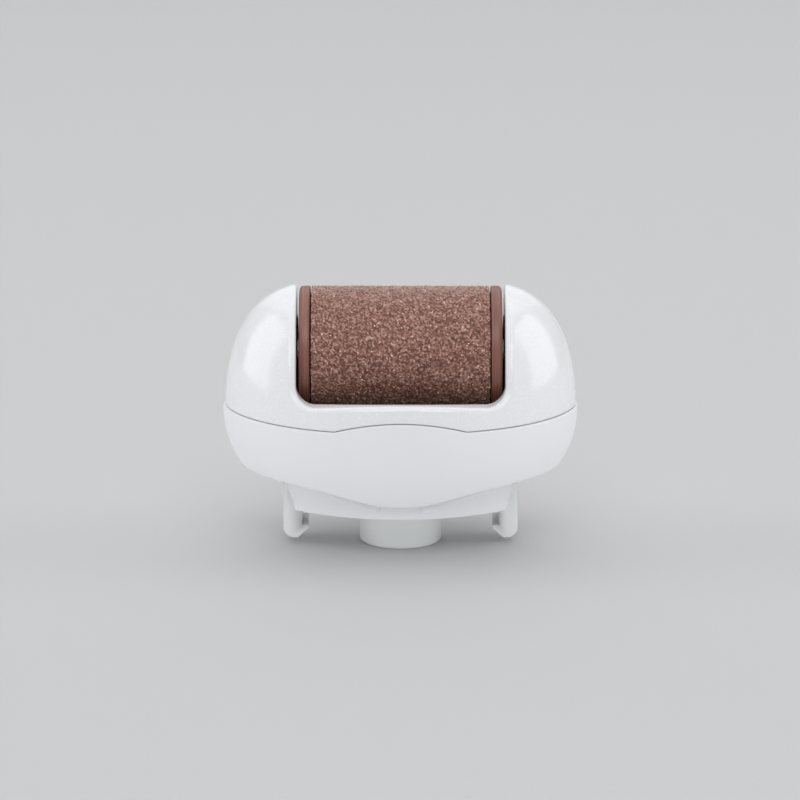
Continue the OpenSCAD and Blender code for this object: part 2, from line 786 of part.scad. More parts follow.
module roller_axle() {
    left = lay_x - pinion_r * cone_scale - 0.2;
    right = bracket_out_x + 2;
    color(steel) translate([0, 0, roller_z]) x_rod(axle_r, -left, right);
}

// Spacers between the hubs and the bushes
module axle_spacers() {
    inner = roller_len / 2 - spacer_sink;
    outer = bracket_x - flange_lip - part_gap / 2;
    color(steel) both_sides() translate([0, 0, roller_z]) x_tube(axle_r + spacer_t, axle_r, inner, outer);
}

module axle_clip() {
    x0 = bracket_out_x + part_gap;
    color(steel) difference() {
        translate([0, 0, roller_z]) x_tube(axle_r + clip_ring, axle_r, x0, x0 + clip_t);
        slab(x0 - 1, x0 + clip_t + 1, 0.8 * axle_r, roller_z - axle_r - 2 * clip_ring, roller_z);
    }
}

module axle_bush() {
    translate([0, 0, roller_z]) difference() {
        union() {
            x_rod(axle_bush_r, bracket_x, bracket_out_x);
            x_rod(axle_bush_r + flange_lip, bracket_x - flange_lip, bracket_x);
        }
        x_rod(axle_r + run_fit, bracket_x - 2, bracket_out_x + 1);
    }
}

module left_axle_bush() {
    color(bronze) mirror([1, 0, 0]) axle_bush();
}

module right_axle_bush() {
    color(bronze) axle_bush();
}

// Involute of a circle, in degrees
function involute(a) = tan(a) * 180 / PI - a;

// Half the angle that a spur tooth spans at radius r
function spur_half(teeth, r, base_r) =
    let (thin = backlash / (gear_m * teeth) * 180 / PI)
    90 / teeth - thin + involute(pressure_angle) - involute(acos(min(1, base_r / r)));

function spur_outline(teeth) =
    let (pitch_r = gear_m * teeth / 2)
    let (base_r = pitch_r * cos(pressure_angle))
    let (root_r = pitch_r - dedendum * gear_m)
    let (tip_r = pitch_r + addendum * gear_m)
    let (low_r = max(base_r, root_r))
    let (flank = [for (k = [0 : 4]) low_r + (tip_r - low_r) * k / 4])
    let (half = [for (r = concat([root_r], flank)) [r, spur_half(teeth, max(r, low_r), base_r)]])
    [
        for (tooth = [0 : teeth - 1], side = [-1, 1], k = [0 : 5])
            let (p = half[side < 0 ? k : 5 - k])
            let (a = 360 * tooth / teeth + side * p[1])
            [p[0] * cos(a), p[0] * sin(a)]
    ];

// Spur gear with a tooth pointing at the given angle
module spur_gear(teeth, bore, angle) {
    color(gear_white) translate([0, 0, gear_z]) difference() {
        rotate([0, 0, angle]) linear_extrude(height = gear_t) polygon(spur_outline(teeth));
        translate([0, 0, -1]) cylinder(r = bore, h = gear_t + 2);
    }
}

module input_gear() {
    spur_gear(input_teeth, spindle_r, 180);
}

module idler_gear() {
    translate([-idler_x, 0, 0]) spur_gear(idler_teeth, shaft_r + run_fit, 180 / idler_teeth);
}

module lay_gear() {
    gap_faces_lay = idler_teeth % 2 == 0;
    translate([-lay_x, 0, 0]) spur_gear(lay_teeth, shaft_r, gap_faces_lay ? 0 : 180 / lay_teeth);
}

// Bevel tooth flanks on a sphere round the cones' apex
function sphere_involute(theta, base) =
    let (roll = acos(min(1, cos(theta) / cos(base))))
    roll / sin(base) - atan(tan(roll) / sin(base));

// Section of a bevel gear in the plane of its wide end, for a cone of the given half-angle
function bevel_outline(teeth, cone, depth) =
    let (base = asin(sin(cone) * cos(pressure_angle)))
    let (tip = cone + atan(addendum * bevel_module / cone_len))
    let (root = cone - atan(1.2 * bevel_module / cone_len))
    let (low = max(base, root))
    let (thin = backlash / (bevel_module * teeth) * 180 / PI)
    let (centre = 90 / teeth - thin + sphere_involute(cone, base))
    let (flank = [for (k = [0 : 4]) low + (tip - low) * k / 4])
    let (steps = concat([root], flank))
    let (half = [for (t = steps) [depth * tan(t), centre - sphere_involute(max(t, low), base)]])
    [
        for (tooth = [0 : teeth - 1], side = [-1, 1], k = [0 : 5])
            let (p = half[side < 0 ? k : 5 - k])
            let (a = 360 * tooth / teeth + side * p[1])
            [p[0] * cos(a), p[0] * sin(a)]
    ];

module bevel_teeth_solid(teeth, cone, depth) {
    linear_extrude(height = depth * (1 - cone_scale), scale = cone_scale)
        polygon(bevel_outline(teeth, cone, depth));
}

// Bevel gear on the axle, with a tooth gap at its lowest point
module bevel_gear() {
    cone = atan(bevel_r / pinion_r);
    back_r = pinion_r * tan(cone - atan(1.2 * bevel_module / cone_len));
    color(gear_white) translate([-bevel_x, 0, roller_z]) difference() {
        union() {
            rotate([0, -90, 0]) rotate([0, 0, 180 + 180 / bevel_teeth])
                bevel_teeth_solid(bevel_teeth, cone, pinion_r);
            x_rod(back_r, 0, bevel_back_t);
        }
        x_rod(axle_r, -pinion_r, bevel_back_t + 1);
    }
}

// Bevel pinion on top of the lay shaft, with a tooth facing the bevel gear
module bevel_pinion() {
    cone = atan(pinion_r / bevel_r);
    color(gear_white) translate([-lay_x, 0, pinion_z]) difference() {
        union() {
            bevel_teeth_solid(pinion_teeth, cone, bevel_r);
            pin(shaft_r + 0.9, -hub_len, 0);
        }
        pin(shaft_r, -hub_len - 1, bevel_r);
    }
}

module lay_shaft() {
    top = pinion_z + bevel_r * (1 - cone_scale);
    color(steel) translate([-lay_x, 0, 0]) pin(shaft_r, floor_in_z + 0.1, top);
}

module lay_lower_bush() {
    color(bronze) translate([-lay_x, 0, 0]) {
        tube(shaft_bush_r, shaft_r + run_fit, floor_in_z + 0.1, plate_top_z);
        tube(shaft_bush_r + flange_lip, shaft_r + run_fit, plate_top_z, plate_top_z + gear_gap - part_gap);
    }
}

module lay_upper_bush() {
    color(bronze) translate([-lay_x, 0, 0]) {
        tube(shaft_bush_r, shaft_r + run_fit, shelf_top_z - shelf_t, shelf_top_z);
        tube(shaft_bush_r + flange_lip, shaft_r + run_fit, shelf_top_z, shelf_top_z + bush_lip_t);
    }
}

module idler_pin() {
    color(steel) translate([-idler_x, 0, 0]) pin(shaft_r, floor_in_z, cover_top_z);
}

// Drive input: coupler in the boss, spindle and its bearings
module input_spindle() {
    color(steel) pin(spindle_r, coupler_recess + socket_h + 0.6, cover_top_z - 0.1);
}

module spindle_bush() {
    color(bronze) tube(spindle_bush_r, spindle_r + run_fit, cover_z, cover_top_z);
}

module drive_coupler() {
    slot_w = 1.2;
    top = flange_top_z + part_gap;
    color(dark) difference() {
        union() {
            pin(coupler_r, coupler_recess, top + 0.8);
            pin(boss_bore_r - 0.3, top, top + 0.8);
        }
        pin(socket_d / 2, 0, coupler_recess + socket_h);
        pin(spindle_r, coupler_recess + socket_h + 0.6, top + 2);
        slab(-coupler_r + 1, coupler_r - 1, slot_w / 2, 0, coupler_recess + socket_h - 1);
    }
}

module coupler_bush() {
    color(bronze) tube(boss_bore_r, coupler_r + run_fit, seal_top_z, flange_top_z);
}

module coupler_seal() {
    color(dark) tube(boss_bore_r, coupler_r + 2 * run_fit, coupler_seal_z, seal_top_z);
}

// Fasteners
module housing_screws() {
    low = floor_z + housing_sink;
    color(steel) four_corners(post_x, screw_y) translate([0, 0, low])
        screw(pilot_r, head_r, plate_top_z + screw_grip - low);
}

module plinth_screws() {
    low = boss_h + head_sink;
    color(steel) four_corners(plinth_post_x, plinth_post_y) translate([0, 0, low])
        screw(pilot_r, head_r, plate_top_z - 0.4 - low);
}

module boss_screws() {
    low = boss_h + head_sink;
    color(steel) boss_screw_places() translate([0, 0, low])
        screw(cover_screw_r, cover_head_r, flange_top_z + 1.1 - low);
}

// Screws from above that hold the right-hand side of the gear cover
module cover_screws() {
    color(steel) for (s = [-1, 1]) translate([cover_post_out, s * cover_post_out, cover_top_z + head_h])
        mirror([0, 0, 1]) screw(cover_screw_r, cover_head_r, cover_t + cover_screw_len - 0.2);
}

module bracket_screws() {
    color(steel) for (s = [-1, 1]) {
        left_top = cover_top_z + bracket_foot_t + head_h;
        right_top = plate_top_z + bracket_foot_t + head_h;
        translate([-lay_post_x, s * lay_post_y, left_top]) mirror([0, 0, 1])
            screw(cover_screw_r, cover_head_r, bracket_foot_t + cover_t + cover_screw_len - 0.2);
        translate([lay_x, s * bracket_screw_y, right_top]) mirror([0, 0, 1])
            screw(cover_screw_r, cover_head_r, right_top - bracket_pilot_z - 0.1);
    }
}

upper_housing();
lower_housing();
mounting_plinth();
drive_boss();
left_latch_arm();
right_latch_arm();
dust_tray();
dust_seals();
gear_frame();
gear_cover();
left_bracket();
right_bracket();
roller_core();
abrasive_sleeve();
left_roller_hub();
right_roller_hub();
roller_axle();
axle_spacers();
axle_clip();
left_axle_bush();
right_axle_bush();
bevel_gear();
bevel_pinion();
lay_shaft();
lay_gear();
lay_lower_bush();
lay_upper_bush();
idler_gear();
idler_pin();
input_gear();
input_spindle();
spindle_bush();
drive_coupler();
coupler_bush();
coupler_seal();
housing_screws();
plinth_screws();
boss_screws();
cover_screws();
bracket_screws();
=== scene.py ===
import json
import math

import bmesh
import bpy
import numpy as np
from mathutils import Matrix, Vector
from mathutils.kdtree import KDTree


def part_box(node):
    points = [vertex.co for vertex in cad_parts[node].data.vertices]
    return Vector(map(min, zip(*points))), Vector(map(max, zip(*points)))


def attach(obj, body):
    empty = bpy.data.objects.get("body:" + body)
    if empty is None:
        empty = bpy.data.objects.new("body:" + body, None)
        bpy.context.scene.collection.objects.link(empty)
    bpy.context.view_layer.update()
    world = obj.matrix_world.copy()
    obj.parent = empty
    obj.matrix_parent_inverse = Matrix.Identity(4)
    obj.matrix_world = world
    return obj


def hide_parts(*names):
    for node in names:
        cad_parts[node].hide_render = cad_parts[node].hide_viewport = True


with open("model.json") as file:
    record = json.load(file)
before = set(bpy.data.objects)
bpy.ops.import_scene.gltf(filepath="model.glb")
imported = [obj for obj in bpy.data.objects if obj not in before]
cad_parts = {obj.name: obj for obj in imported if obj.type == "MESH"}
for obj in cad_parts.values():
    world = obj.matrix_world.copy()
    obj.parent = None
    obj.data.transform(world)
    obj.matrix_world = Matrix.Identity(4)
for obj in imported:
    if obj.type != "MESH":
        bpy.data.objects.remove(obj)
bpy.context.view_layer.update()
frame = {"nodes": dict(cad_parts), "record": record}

MM = 0.001


def far_corner(node):
    """Highest corner of a node's box, in millimetres."""
    return np.array(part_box(node)[1]) / MM


def turned_size(node):
    """Axis height, radius and half length of a node turned about the roller's axis, in millimetres."""
    low, high = (np.array(corner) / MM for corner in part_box(node))
    return (low[2] + high[2]) / 2, (high[2] - low[2]) / 2, high[0]


# Lengths are in millimetres, apart from those of the finishes, the lamps and the camera, in metres

# Roller
ROLLER_Z, ROLLER_R, SLEEVE_HALF = turned_size("abrasive_sleeve")
_, RIM_R, CORE_HALF = turned_size("roller_core")
_, SEAL_R, _ = turned_size("dust_seals")
SLEEVE_T = 1.3
CORE_T = 1.7
CORE_R = ROLLER_R - SLEEVE_T
CORE_BORE_R = CORE_R - CORE_T
SLEEVE_GAP = 0.2
BED_GAP = 0.05
RIM_OUTER_R = 0.75
RIM_INNER_R = 0.25
RIM_BORE_R = 0.2

# Seam and sill
SILL_T = 1.5
SILL_H = 4.0
SILL_RISE = 0.95
LEDGE_LOW_Z = far_corner("dust_tray")[2]
SILL_Z = LEDGE_LOW_Z + SILL_T
SEAM_Z = SILL_Z - SILL_H
SEAM_STEP = 0.35
SEAM_GAP = 0.1
SEAM_EDGE_R = 0.2
ARCH_W = 24.0
ARCH_H = 1.8
ARCH_R = ((ARCH_W / 2) ** 2 + ARCH_H ** 2) / (2 * ARCH_H)

# Roller window and the bay behind it
END_GAP = 0.45
BAY_HALF = CORE_HALF + END_GAP
WINDOW_R = 3.2
CORNER_Z = SILL_Z + WINDOW_R
SILL_END = BAY_HALF - WINDOW_R
SILL_ARC_R = (SILL_END ** 2 + SILL_RISE ** 2) / (2 * SILL_RISE)
SILL_SLOPE_FADE = 2.5
LIP_R = 1.1
EAR_LIP_R = 0.55
LEDGE_EDGE_R = 0.4
BAY_BOW_R = 34.0
SEAL_LAP = 0.3

# Dome of the upper shell: the powers set how square its plan is and how late it narrows upwards
LOWER_CORNER = far_corner("lower_housing")
HALF_W = LOWER_CORNER[0] - SEAM_STEP
HALF_D = LOWER_CORNER[1] - SEAM_STEP
PLAN_POWER = 2.3
TIP_POWER = 0.85
TIP_SOFT = 1.5
DOME_POWER = 5
DOME_TOP = 0.9999
EAR_TOP_Z = far_corner("upper_housing")[2]
DOME_H = (EAR_TOP_Z - SEAM_Z) / math.sqrt(1 - (BAY_HALF / HALF_W) ** DOME_POWER)
LEDGE_D = 2.8
BAY_HALF_D = HALF_D - LEDGE_D
SHELL_T = 0.45

# Lower shell
SHELL_H = 12.0
FLOOR_Z = SEAM_Z - SHELL_H
CHIN_DROP = 3.45
CHIN_W = 26.6
CHIN_POWER = 3
CHIN_Z = FLOOR_Z - CHIN_DROP
SIDE_RISE = 0.85
SIDE_TUCK = 6.96
SIDE_TUCK_POWER = 2.31
FRONT_TUCK = 5.4
BOTTOM_EDGE_R = 0.8
RIM_EDGE_R = 0.22
RIM_W = 1.7

# Plinth, hooks and screws under the lower shell
PLINTH_CORNER = far_corner("mounting_plinth")
PLINTH_BOW_R = 31.8
PLINTH_GAP = 0.3
PLINTH_LIP_H = 1.6
LATCH_CORNER = far_corner("right_latch_arm")
LATCH_ROOM = 1.15
SCREW_CORNER = far_corner("housing_screws")
SCREW_HEAD_R = 1.8
SCREW_SEAT_GAP = 0.15
SCREW_SEAT_DEPTH = 1.5

# Grit: the size, spread and lean of the grains, and how far they stand out
GRIT_SEED = 41
GRIT_MESH = 0.12
GRIT_DEPTH = 0.4
GRIT_INSET = 0.005
GRAIN_PITCH = 0.3
GRAINS_ALONG = int(2 * SLEEVE_HALF / GRAIN_PITCH)
GRAINS_AROUND = int(2 * math.pi * ROLLER_R / GRAIN_PITCH)
GRAIN_STRAY = 0.48
GRAIN_LEAN = 1.6
GRAIN_TILT = 0.5
GRAIN_LOW = 0.45
GRAIN_TALL_POWER = 5
GRAIN_FOOT = 0.35
GRAIN_EDGE = 0.15
RAGGED_END = 0.16


# Mesh helpers

WELD_WITHIN = 0.0005


def quarter(steps):
    """Angles of a quarter turn in even steps, from nothing to a right angle."""
    return np.linspace(0, math.pi / 2, steps + 1)


class Sheet:
    """Points and faces gathered from grids, each of which may be mirrored across the middle planes."""

    def __init__(self):
        self.points = []
        self.faces = []

    def grid(self, rows, mirrors=((1, 1),), closed=False):
        """Adds a grid of points, row by row, once for each mirror; a closed grid's rows are rings."""
        rows = np.asarray(rows, float)
        count, width = rows.shape[:2]
        for side, front in mirrors:
            start = len(self.points)
            self.points.extend((rows.reshape(-1, 3) * (side, front, 1)).tolist())
            for row in range(count - 1):
                here = start + row * width
                above = here + width
                for column in range(width if closed else width - 1):
                    following = (column + 1) % width
                    quad = [here + column, here + following, above + following, above + column]
                    self.faces.append(quad if side * front > 0 else quad[::-1])


FOUR_WAYS = ((1, 1), (-1, 1), (1, -1), (-1, -1))


def new_piece(name, sheet, weld=WELD_WITHIN):
    """A smooth-shaded piece from a sheet, welded and with its faces turned outwards."""
    mesh = bpy.data.meshes.new(name)
    mesh.from_pydata((np.asarray(sheet.points) * MM).tolist(), [], sheet.faces)
    work = bmesh.new()
    work.from_mesh(mesh)
    bmesh.ops.remove_doubles(work, verts=work.verts, dist=weld * MM)
    bmesh.ops.dissolve_degenerate(work, edges=work.edges, dist=weld * MM)
    bmesh.ops.recalc_face_normals(work, faces=work.faces)
    work.to_mesh(mesh)
    work.free()
    mesh.shade_smooth()
    piece = bpy.data.objects.new(name, mesh)
    bpy.context.scene.collection.objects.link(piece)
    return piece


def bake_modifiers(piece):
    """Keeps the mesh that a piece's modifiers make, and takes the modifiers off."""
    depsgraph = bpy.context.evaluated_depsgraph_get()
    mesh = bpy.data.meshes.new_from_object(piece.evaluated_get(depsgraph))
    piece.modifiers.clear()
    old = piece.data
    piece.data = mesh
    bpy.data.meshes.remove(old)
    mesh.name = piece.name
    mesh.shade_smooth()


def thicken(piece, amount):
    """Gives a sheet a wall behind its visible face."""
    wall = piece.modifiers.new("wall", "SOLIDIFY")
    wall.thickness = amount * MM
    wall.offset = -1
    wall.use_even_offset = False
    wall.use_quality_normals = True
    wall.use_rim = True
    bake_modifiers(piece)


# Form of the shells

HALVINGS = 46
DOME_REACH = 60.0
NORMAL_STEP = 1e-4
NEAREST_TRIES = 4


def arch(x):
    """Rise of the seam over its flat level: an arc in the middle."""
    x = np.abs(np.asarray(x, float))
    rise = np.sqrt(np.maximum(ARCH_R ** 2 - x ** 2, 0)) - ARCH_R + ARCH_H
    return np.where(x < ARCH_W / 2, rise, 0)


def bottom_edge(x):
    """Height of the lower shell's bottom edge: lowest at the chin, and rising towards the sides."""
    chin = 1 / (1 + (2 * np.abs(x) / CHIN_W) ** CHIN_POWER)
    return FLOOR_Z + SIDE_RISE - (CHIN_DROP + SIDE_RISE) * chin


def sill(x):
    """Height of the window's sill, a shallow arc."""
    return SILL_Z + np.sqrt(SILL_ARC_R ** 2 - np.asarray(x, float) ** 2) - SILL_ARC_R + SILL_RISE


def bay_edge(x):
    """Depth of the roller bay, from the middle plane to the inner edge of the ledge."""
    return np.sqrt(BAY_BOW_R ** 2 - np.asarray(x, float) ** 2) - BAY_BOW_R + BAY_HALF_D


def tip_curve(y):
    """Power curve of the plan's depth, softened at its tips."""
    return (y * y + TIP_SOFT ** 2) ** TIP_POWER - TIP_SOFT ** (2 * TIP_POWER)


def plan_share(y, half_d):
    """Share of the plan's outline that a depth takes up."""
    return tip_curve(y) / tip_curve(half_d)


def plan_depth(share, half_d):
    """Depth that takes up a share of the plan's outline."""
    curve = share * tip_curve(half_d) + TIP_SOFT ** (2 * TIP_POWER)
    return np.sqrt(np.maximum(curve ** (1 / TIP_POWER) - TIP_SOFT ** 2, 0))


def plan_point(half_w, half_d, turn):
    """Point of the rounded plan at an angle, for a half width and half depth."""
    across = np.cos(turn)
    back = np.sin(turn)
    x = np.sign(across) * half_w * np.abs(across) ** (2 / PLAN_POWER)
    y = np.sign(back) * plan_depth(back * back, half_d)
    return x, y


def along_seam(start, end, count):
    """Angles along the seam's plan, with the x and the length run at each."""
    turn = np.linspace(start, end, count)
    x, y = plan_point(HALF_W, HALF_D, turn)
    run = np.concatenate([[0], np.cumsum(np.hypot(np.diff(x), np.diff(y)))])
    return turn, x, run


def dome_value(point):
    """Below zero inside the dome, zero on it and above zero outside."""
    rise = np.clip((point[..., 2] - SEAM_Z) / DOME_H, 0, DOME_TOP)
    half_w = HALF_W * (1 - rise * rise) ** (1 / DOME_POWER)
    half_d = HALF_D * np.sqrt(1 - rise * rise)
    return (np.abs(point[..., 0]) / half_w) ** PLAN_POWER + plan_share(point[..., 1], half_d) - 1


def unit(ways):
    """Directions brought to unit length."""
    return ways / np.linalg.norm(ways, axis=-1, keepdims=True)


def dome_normal(point):
    """Direction straight out of the dome at a point."""
    steps = NORMAL_STEP * np.eye(3)
    return unit(np.stack([dome_value(point + step) - dome_value(point - step) for step in steps], -1))


def farthest(holds, shape, reach):
    """Largest distances, up to a reach, for which a test still holds, found by halving."""
    low = np.zeros(shape)
    high = np.full(shape, reach)
    for _ in range(HALVINGS):
        middle = (low + high) / 2
        good = holds(middle)
        low = np.where(good, middle, low)
        high = np.where(good, high, middle)
    return low


def out_to_dome(start, way):
    """Where rays from inside the dome meet it, and how far along."""
    def inside(distance):
        return dome_value(start + distance[..., None] * way) < 0

    distance = farthest(inside, start.shape[:-1], DOME_REACH)
    return start + distance[..., None] * way, distance


def nearest_on_dome(inner):
    """Nearest points of the dome to points inside it, with their distances and directions."""
    normal = dome_normal(inner)
    for _ in range(NEAREST_TRIES):
        skin, distance = out_to_dome(inner, normal)
        normal = dome_normal(skin)
    return skin, distance, normal


# Upper shell: one front quarter of its visible face, mirrored four ways

SILL_STEPS = 33
CORNER_STEPS = 11
EAR_STEPS = 69
CORNER_END = SILL_STEPS + 1 + CORNER_STEPS
SKIN_STEPS = 39
LIP_STEPS = 8
LEDGE_STEPS = 5
EDGE_STEPS = 3
ROUND_STEPS = 4
EAR_FACE_STEPS = 8
EAR_FOOT_STEPS = 23
SEAM_POINTS = 4000
LIP_REACH = 30.0
SKIN_TOUCH = 1e-6
EAR_LIP_START = 0.35
EAR_LIP_RUN = 0.5
FAN_W = 3.6
FAN_END = BAY_HALF + FAN_W
HEART_H = 1.0
HEART_Z = SEAM_Z + HEART_H


def window_edge():
    """The window's edge from mid sill to the ear's top: its points, the way into the shell, the way out."""
    points = []
    into = []
    outward = []
    for x in np.linspace(0, SILL_END, SILL_STEPS + 1):
        slope = -x / math.sqrt(SILL_ARC_R ** 2 - x * x)
        fade = min(1.0, (SILL_END - x) / SILL_SLOPE_FADE)
        points.append([x, 0, float(sill(x))])
        into.append([slope * fade, 0, -1])
        outward.append([0, -1, 0])
    for turn in quarter(CORNER_STEPS)[1:] - math.pi / 2:
        points.append([SILL_END + WINDOW_R * math.cos(turn), 0, CORNER_Z + WINDOW_R * math.sin(turn)])
        into.append([math.cos(turn), 0, math.sin(turn)])
        outward.append([0, -1, 0])
    for turn in quarter(EAR_STEPS)[1:]:
        points.append([BAY_HALF, 0, CORNER_Z])
        into.append([1, 0, 0])
        outward.append([0, -math.cos(turn), math.sin(turn)])
    return np.array(points, float), unit(np.array(into, float)), np.array(outward, float)


def lip_radii():
    """Radius of the window's lip along its edge: full at the sill, and smaller towards the ear's top."""
    round_ear = np.arange(1, EAR_STEPS + 1) / EAR_STEPS
    share = np.clip((round_ear - EAR_LIP_START) / EAR_LIP_RUN, 0, 1)
    ease = share * share * (3 - 2 * share)
    return np.concatenate([np.full(CORNER_END, LIP_R), LIP_R + (EAR_LIP_R - LIP_R) * ease])


def lip_centres(base, outward, lip_r):
    """Centres of the lip's round, as far out as lets it just touch the skin."""
    def leaves_room(distance):
        centre = base + distance[:, None] * outward
        inside = dome_value(centre) < -SKIN_TOUCH
        room = np.zeros(len(base))
        room[inside] = nearest_on_dome(centre[inside])[1]
        return room > lip_r

    return base + farthest(leaves_room, len(base), LIP_REACH)[:, None] * outward


def lip_rows(centre, lip_r, normal, into):
    """Round lip from the skin to the window's wall."""
    turn = np.arccos(np.clip((normal * -into).sum(-1), -1, 1))[:, None]
    rows = []
    for share in np.linspace(0, 1, LIP_STEPS + 1)[1:-1]:
        way = (np.sin((1 - share) * turn) * normal - np.sin(share * turn) * into) / np.sin(turn)
        rows.append(centre + lip_r[:, None] * way)
    rows.append(centre - lip_r[:, None] * into)
    return rows


def seam_feet(sill_x):
    """Feet of the shell's columns: under the sill, then fanned round the corner, then round the ear."""
    turn, x, run = along_seam(-math.pi / 2, 0, SEAM_POINTS)
    sill_run, fan_run = np.interp([SILL_END, FAN_END], x, run)
    fan = np.arange(1, CORNER_STEPS + 1) / CORNER_STEPS
    round_ear = np.arange(1, EAR_STEPS + 1) / EAR_STEPS
    wanted = np.concatenate([
        np.interp(sill_x, x, run),
        sill_run + (fan_run - sill_run) * fan,
        fan_run + (run[-1] - fan_run) * round_ear,
    ])
    foot_x, foot_y = plan_point(HALF_W, HALF_D, np.interp(wanted, run, turn))
    foot_z = SEAM_Z + SEAM_GAP + arch(foot_x) + SEAM_EDGE_R
    return np.stack([foot_x, foot_y, foot_z], -1)


def skin_rows(foot, skin):
    """Rows from the seam up to the window's lip, each point pushed out from the shell's heart to the dome."""
    heart = np.stack([np.minimum(foot[:, 0], SILL_END), 0 * foot[:, 0], np.full(len(foot), HEART_Z)], -1)
    rows = []
    for share in np.linspace(0, 1, SKIN_STEPS + 1)[:-1]:
        ray = unit(foot + (skin - foot) * share - heart)
        rows.append(out_to_dome(heart, ray)[0])
    return rows + [skin]


def seam_edge_rows(lowest):
    """Small round on the upper shell's edge along the seam."""
    flat = dome_normal(lowest)
    flat[:, 2] = 0
    flat = unit(flat)
    rows = []
    for turn in quarter(EDGE_STEPS)[:0:-1]:
        ring = lowest - SEAM_EDGE_R * (1 - math.cos(turn)) * flat
        ring[:, 2] -= SEAM_EDGE_R * math.sin(turn)
        rows.append(ring)
    return rows


def ledge_rows(edge, into, wall):
    """Ledge behind the sill, with a small round edge, then down to the tray."""
    round_r = LEDGE_EDGE_R * np.clip(-into[:, 2], 0, 1)
    inner_y = -bay_edge(np.minimum(edge[:, 0], BAY_HALF))
    rows = []
    for share in np.linspace(0, 1, LEDGE_STEPS + 1):
        y = wall[:, 1] + (inner_y - round_r - wall[:, 1]) * share
        rows.append(np.stack([edge[:, 0], y, edge[:, 2]], -1))
    for turn in quarter(ROUND_STEPS)[1:]:
        ring = edge + (round_r * (1 - math.cos(turn)))[:, None] * into
        ring[:, 1] = inner_y - round_r * (1 - math.sin(turn))
        rows.append(ring)
    top = rows[-1]
    for share in (0.5, 1.0):
        z = top[:, 2] + (LEDGE_LOW_Z - top[:, 2]) * share
        rows.append(np.stack([top[:, 0], top[:, 1], z], -1))
    return rows


def ear_face_rows(wall, ledge):
    """Flat inner face of the ear, from its lip to the hole behind the seal."""
    corner = CORNER_END - 1
    border = list(wall[corner:][::-1])
    border += [row[corner] for row in ledge[1:]]
    for share in np.linspace(1, 0, EAR_FOOT_STEPS + 1)[1:]:
        border.append(np.array([BAY_HALF, ledge[-1][corner, 1] * share, LEDGE_LOW_Z]))
    border = np.array(border)
    border[:, 0] = BAY_HALF
    hub = np.array([BAY_HALF, 0, ROLLER_Z])
    rim = hub + unit(border - hub) * (SEAL_R - SEAL_LAP)
    return [border + (rim - border) * share for share in np.linspace(0, 1, EAR_FACE_STEPS + 1)]


def upper_shell():
    """Pearl dome with two ears, the roller window between them and the ledge behind its sill."""
    edge, into, outward = window_edge()
    lip_r = lip_radii()
    centre = lip_centres(edge + lip_r[:, None] * into, outward, lip_r)
    skin, _, normal = nearest_on_dome(centre)
    lip = lip_rows(centre, lip_r, normal, into)
    wall = lip[-1]
    body = skin_rows(seam_feet(edge[:SILL_STEPS + 1, 0]), skin)
    ledge = ledge_rows(edge[:CORNER_END], into[:CORNER_END], wall[:CORNER_END])
    sheet = Sheet()
    sheet.grid(seam_edge_rows(body[0]) + body + lip, FOUR_WAYS)
    sheet.grid(ledge, FOUR_WAYS)
    sheet.grid(ear_face_rows(wall, ledge), FOUR_WAYS)
    piece = new_piece("upper_shell", sheet)
    thicken(piece, SHELL_T)
    return piece


# Lower shell: rim, side, rounded bottom edge and underside round the plinth

RIM_POINTS = 480
RIM_FINE_POINTS = 8001
SIDE_STEPS = 33
BOTTOM_EDGE_STEPS = 8
UNDERSIDE_STEPS = 5
SEAT_POINTS = 52
SEAT_SHARP_ANGLE = 40
LEAST_SHARE = 1e-6


def lower_row(turn, z, inset):
    """A ring of the lower shell's side at given heights, drawn in by an inset."""
    depth = np.maximum(0, (SEAM_Z - z) / (SEAM_Z - CHIN_Z))
    half_w = HALF_W + SEAM_STEP - inset - SIDE_TUCK * depth ** SIDE_TUCK_POWER
    half_d = HALF_D + SEAM_STEP - inset - FRONT_TUCK * depth ** 2
    x, y = plan_point(half_w, half_d, turn)
    return np.stack([x, y, z + 0 * x], -1)


def opening_reach(turn):
    """Distance from the middle to the edge of the opening round the plinth and the hooks, at an angle."""
    across = np.maximum(np.abs(np.cos(turn)), LEAST_SHARE)
    back = np.maximum(np.abs(np.sin(turn)), LEAST_SHARE)
    off = PLINTH_BOW_R - PLINTH_CORNER[1]
    bow = -off * back + np.sqrt((off * back) ** 2 - off ** 2 + (PLINTH_BOW_R + PLINTH_GAP) ** 2)
    end = (PLINTH_CORNER[0] + PLINTH_GAP) / across
    slot = np.minimum((LATCH_CORNER[0] + LATCH_ROOM) / across, (LATCH_CORNER[1] + PLINTH_GAP) / back)
    return np.maximum(np.minimum(bow, end), slot)


def underside_rows(edge):
    """Underside from the bottom edge in to the opening, and the short lip that stands up inside it."""
    reach = np.hypot(edge[:, 0], edge[:, 1])
    opening = opening_reach(np.arctan2(edge[:, 1], edge[:, 0])) / reach
    rows = []
    for step in np.linspace(0, 1, UNDERSIDE_STEPS + 1)[1:]:
        share = 1 - step * (1 - opening)
        z = edge[:, 2] * share + FLOOR_Z * (1 - share)
        rows.append(np.stack([edge[:, 0] * share, edge[:, 1] * share, z], -1))
    return rows + [rows[-1] + (0, 0, PLINTH_LIP_H)]


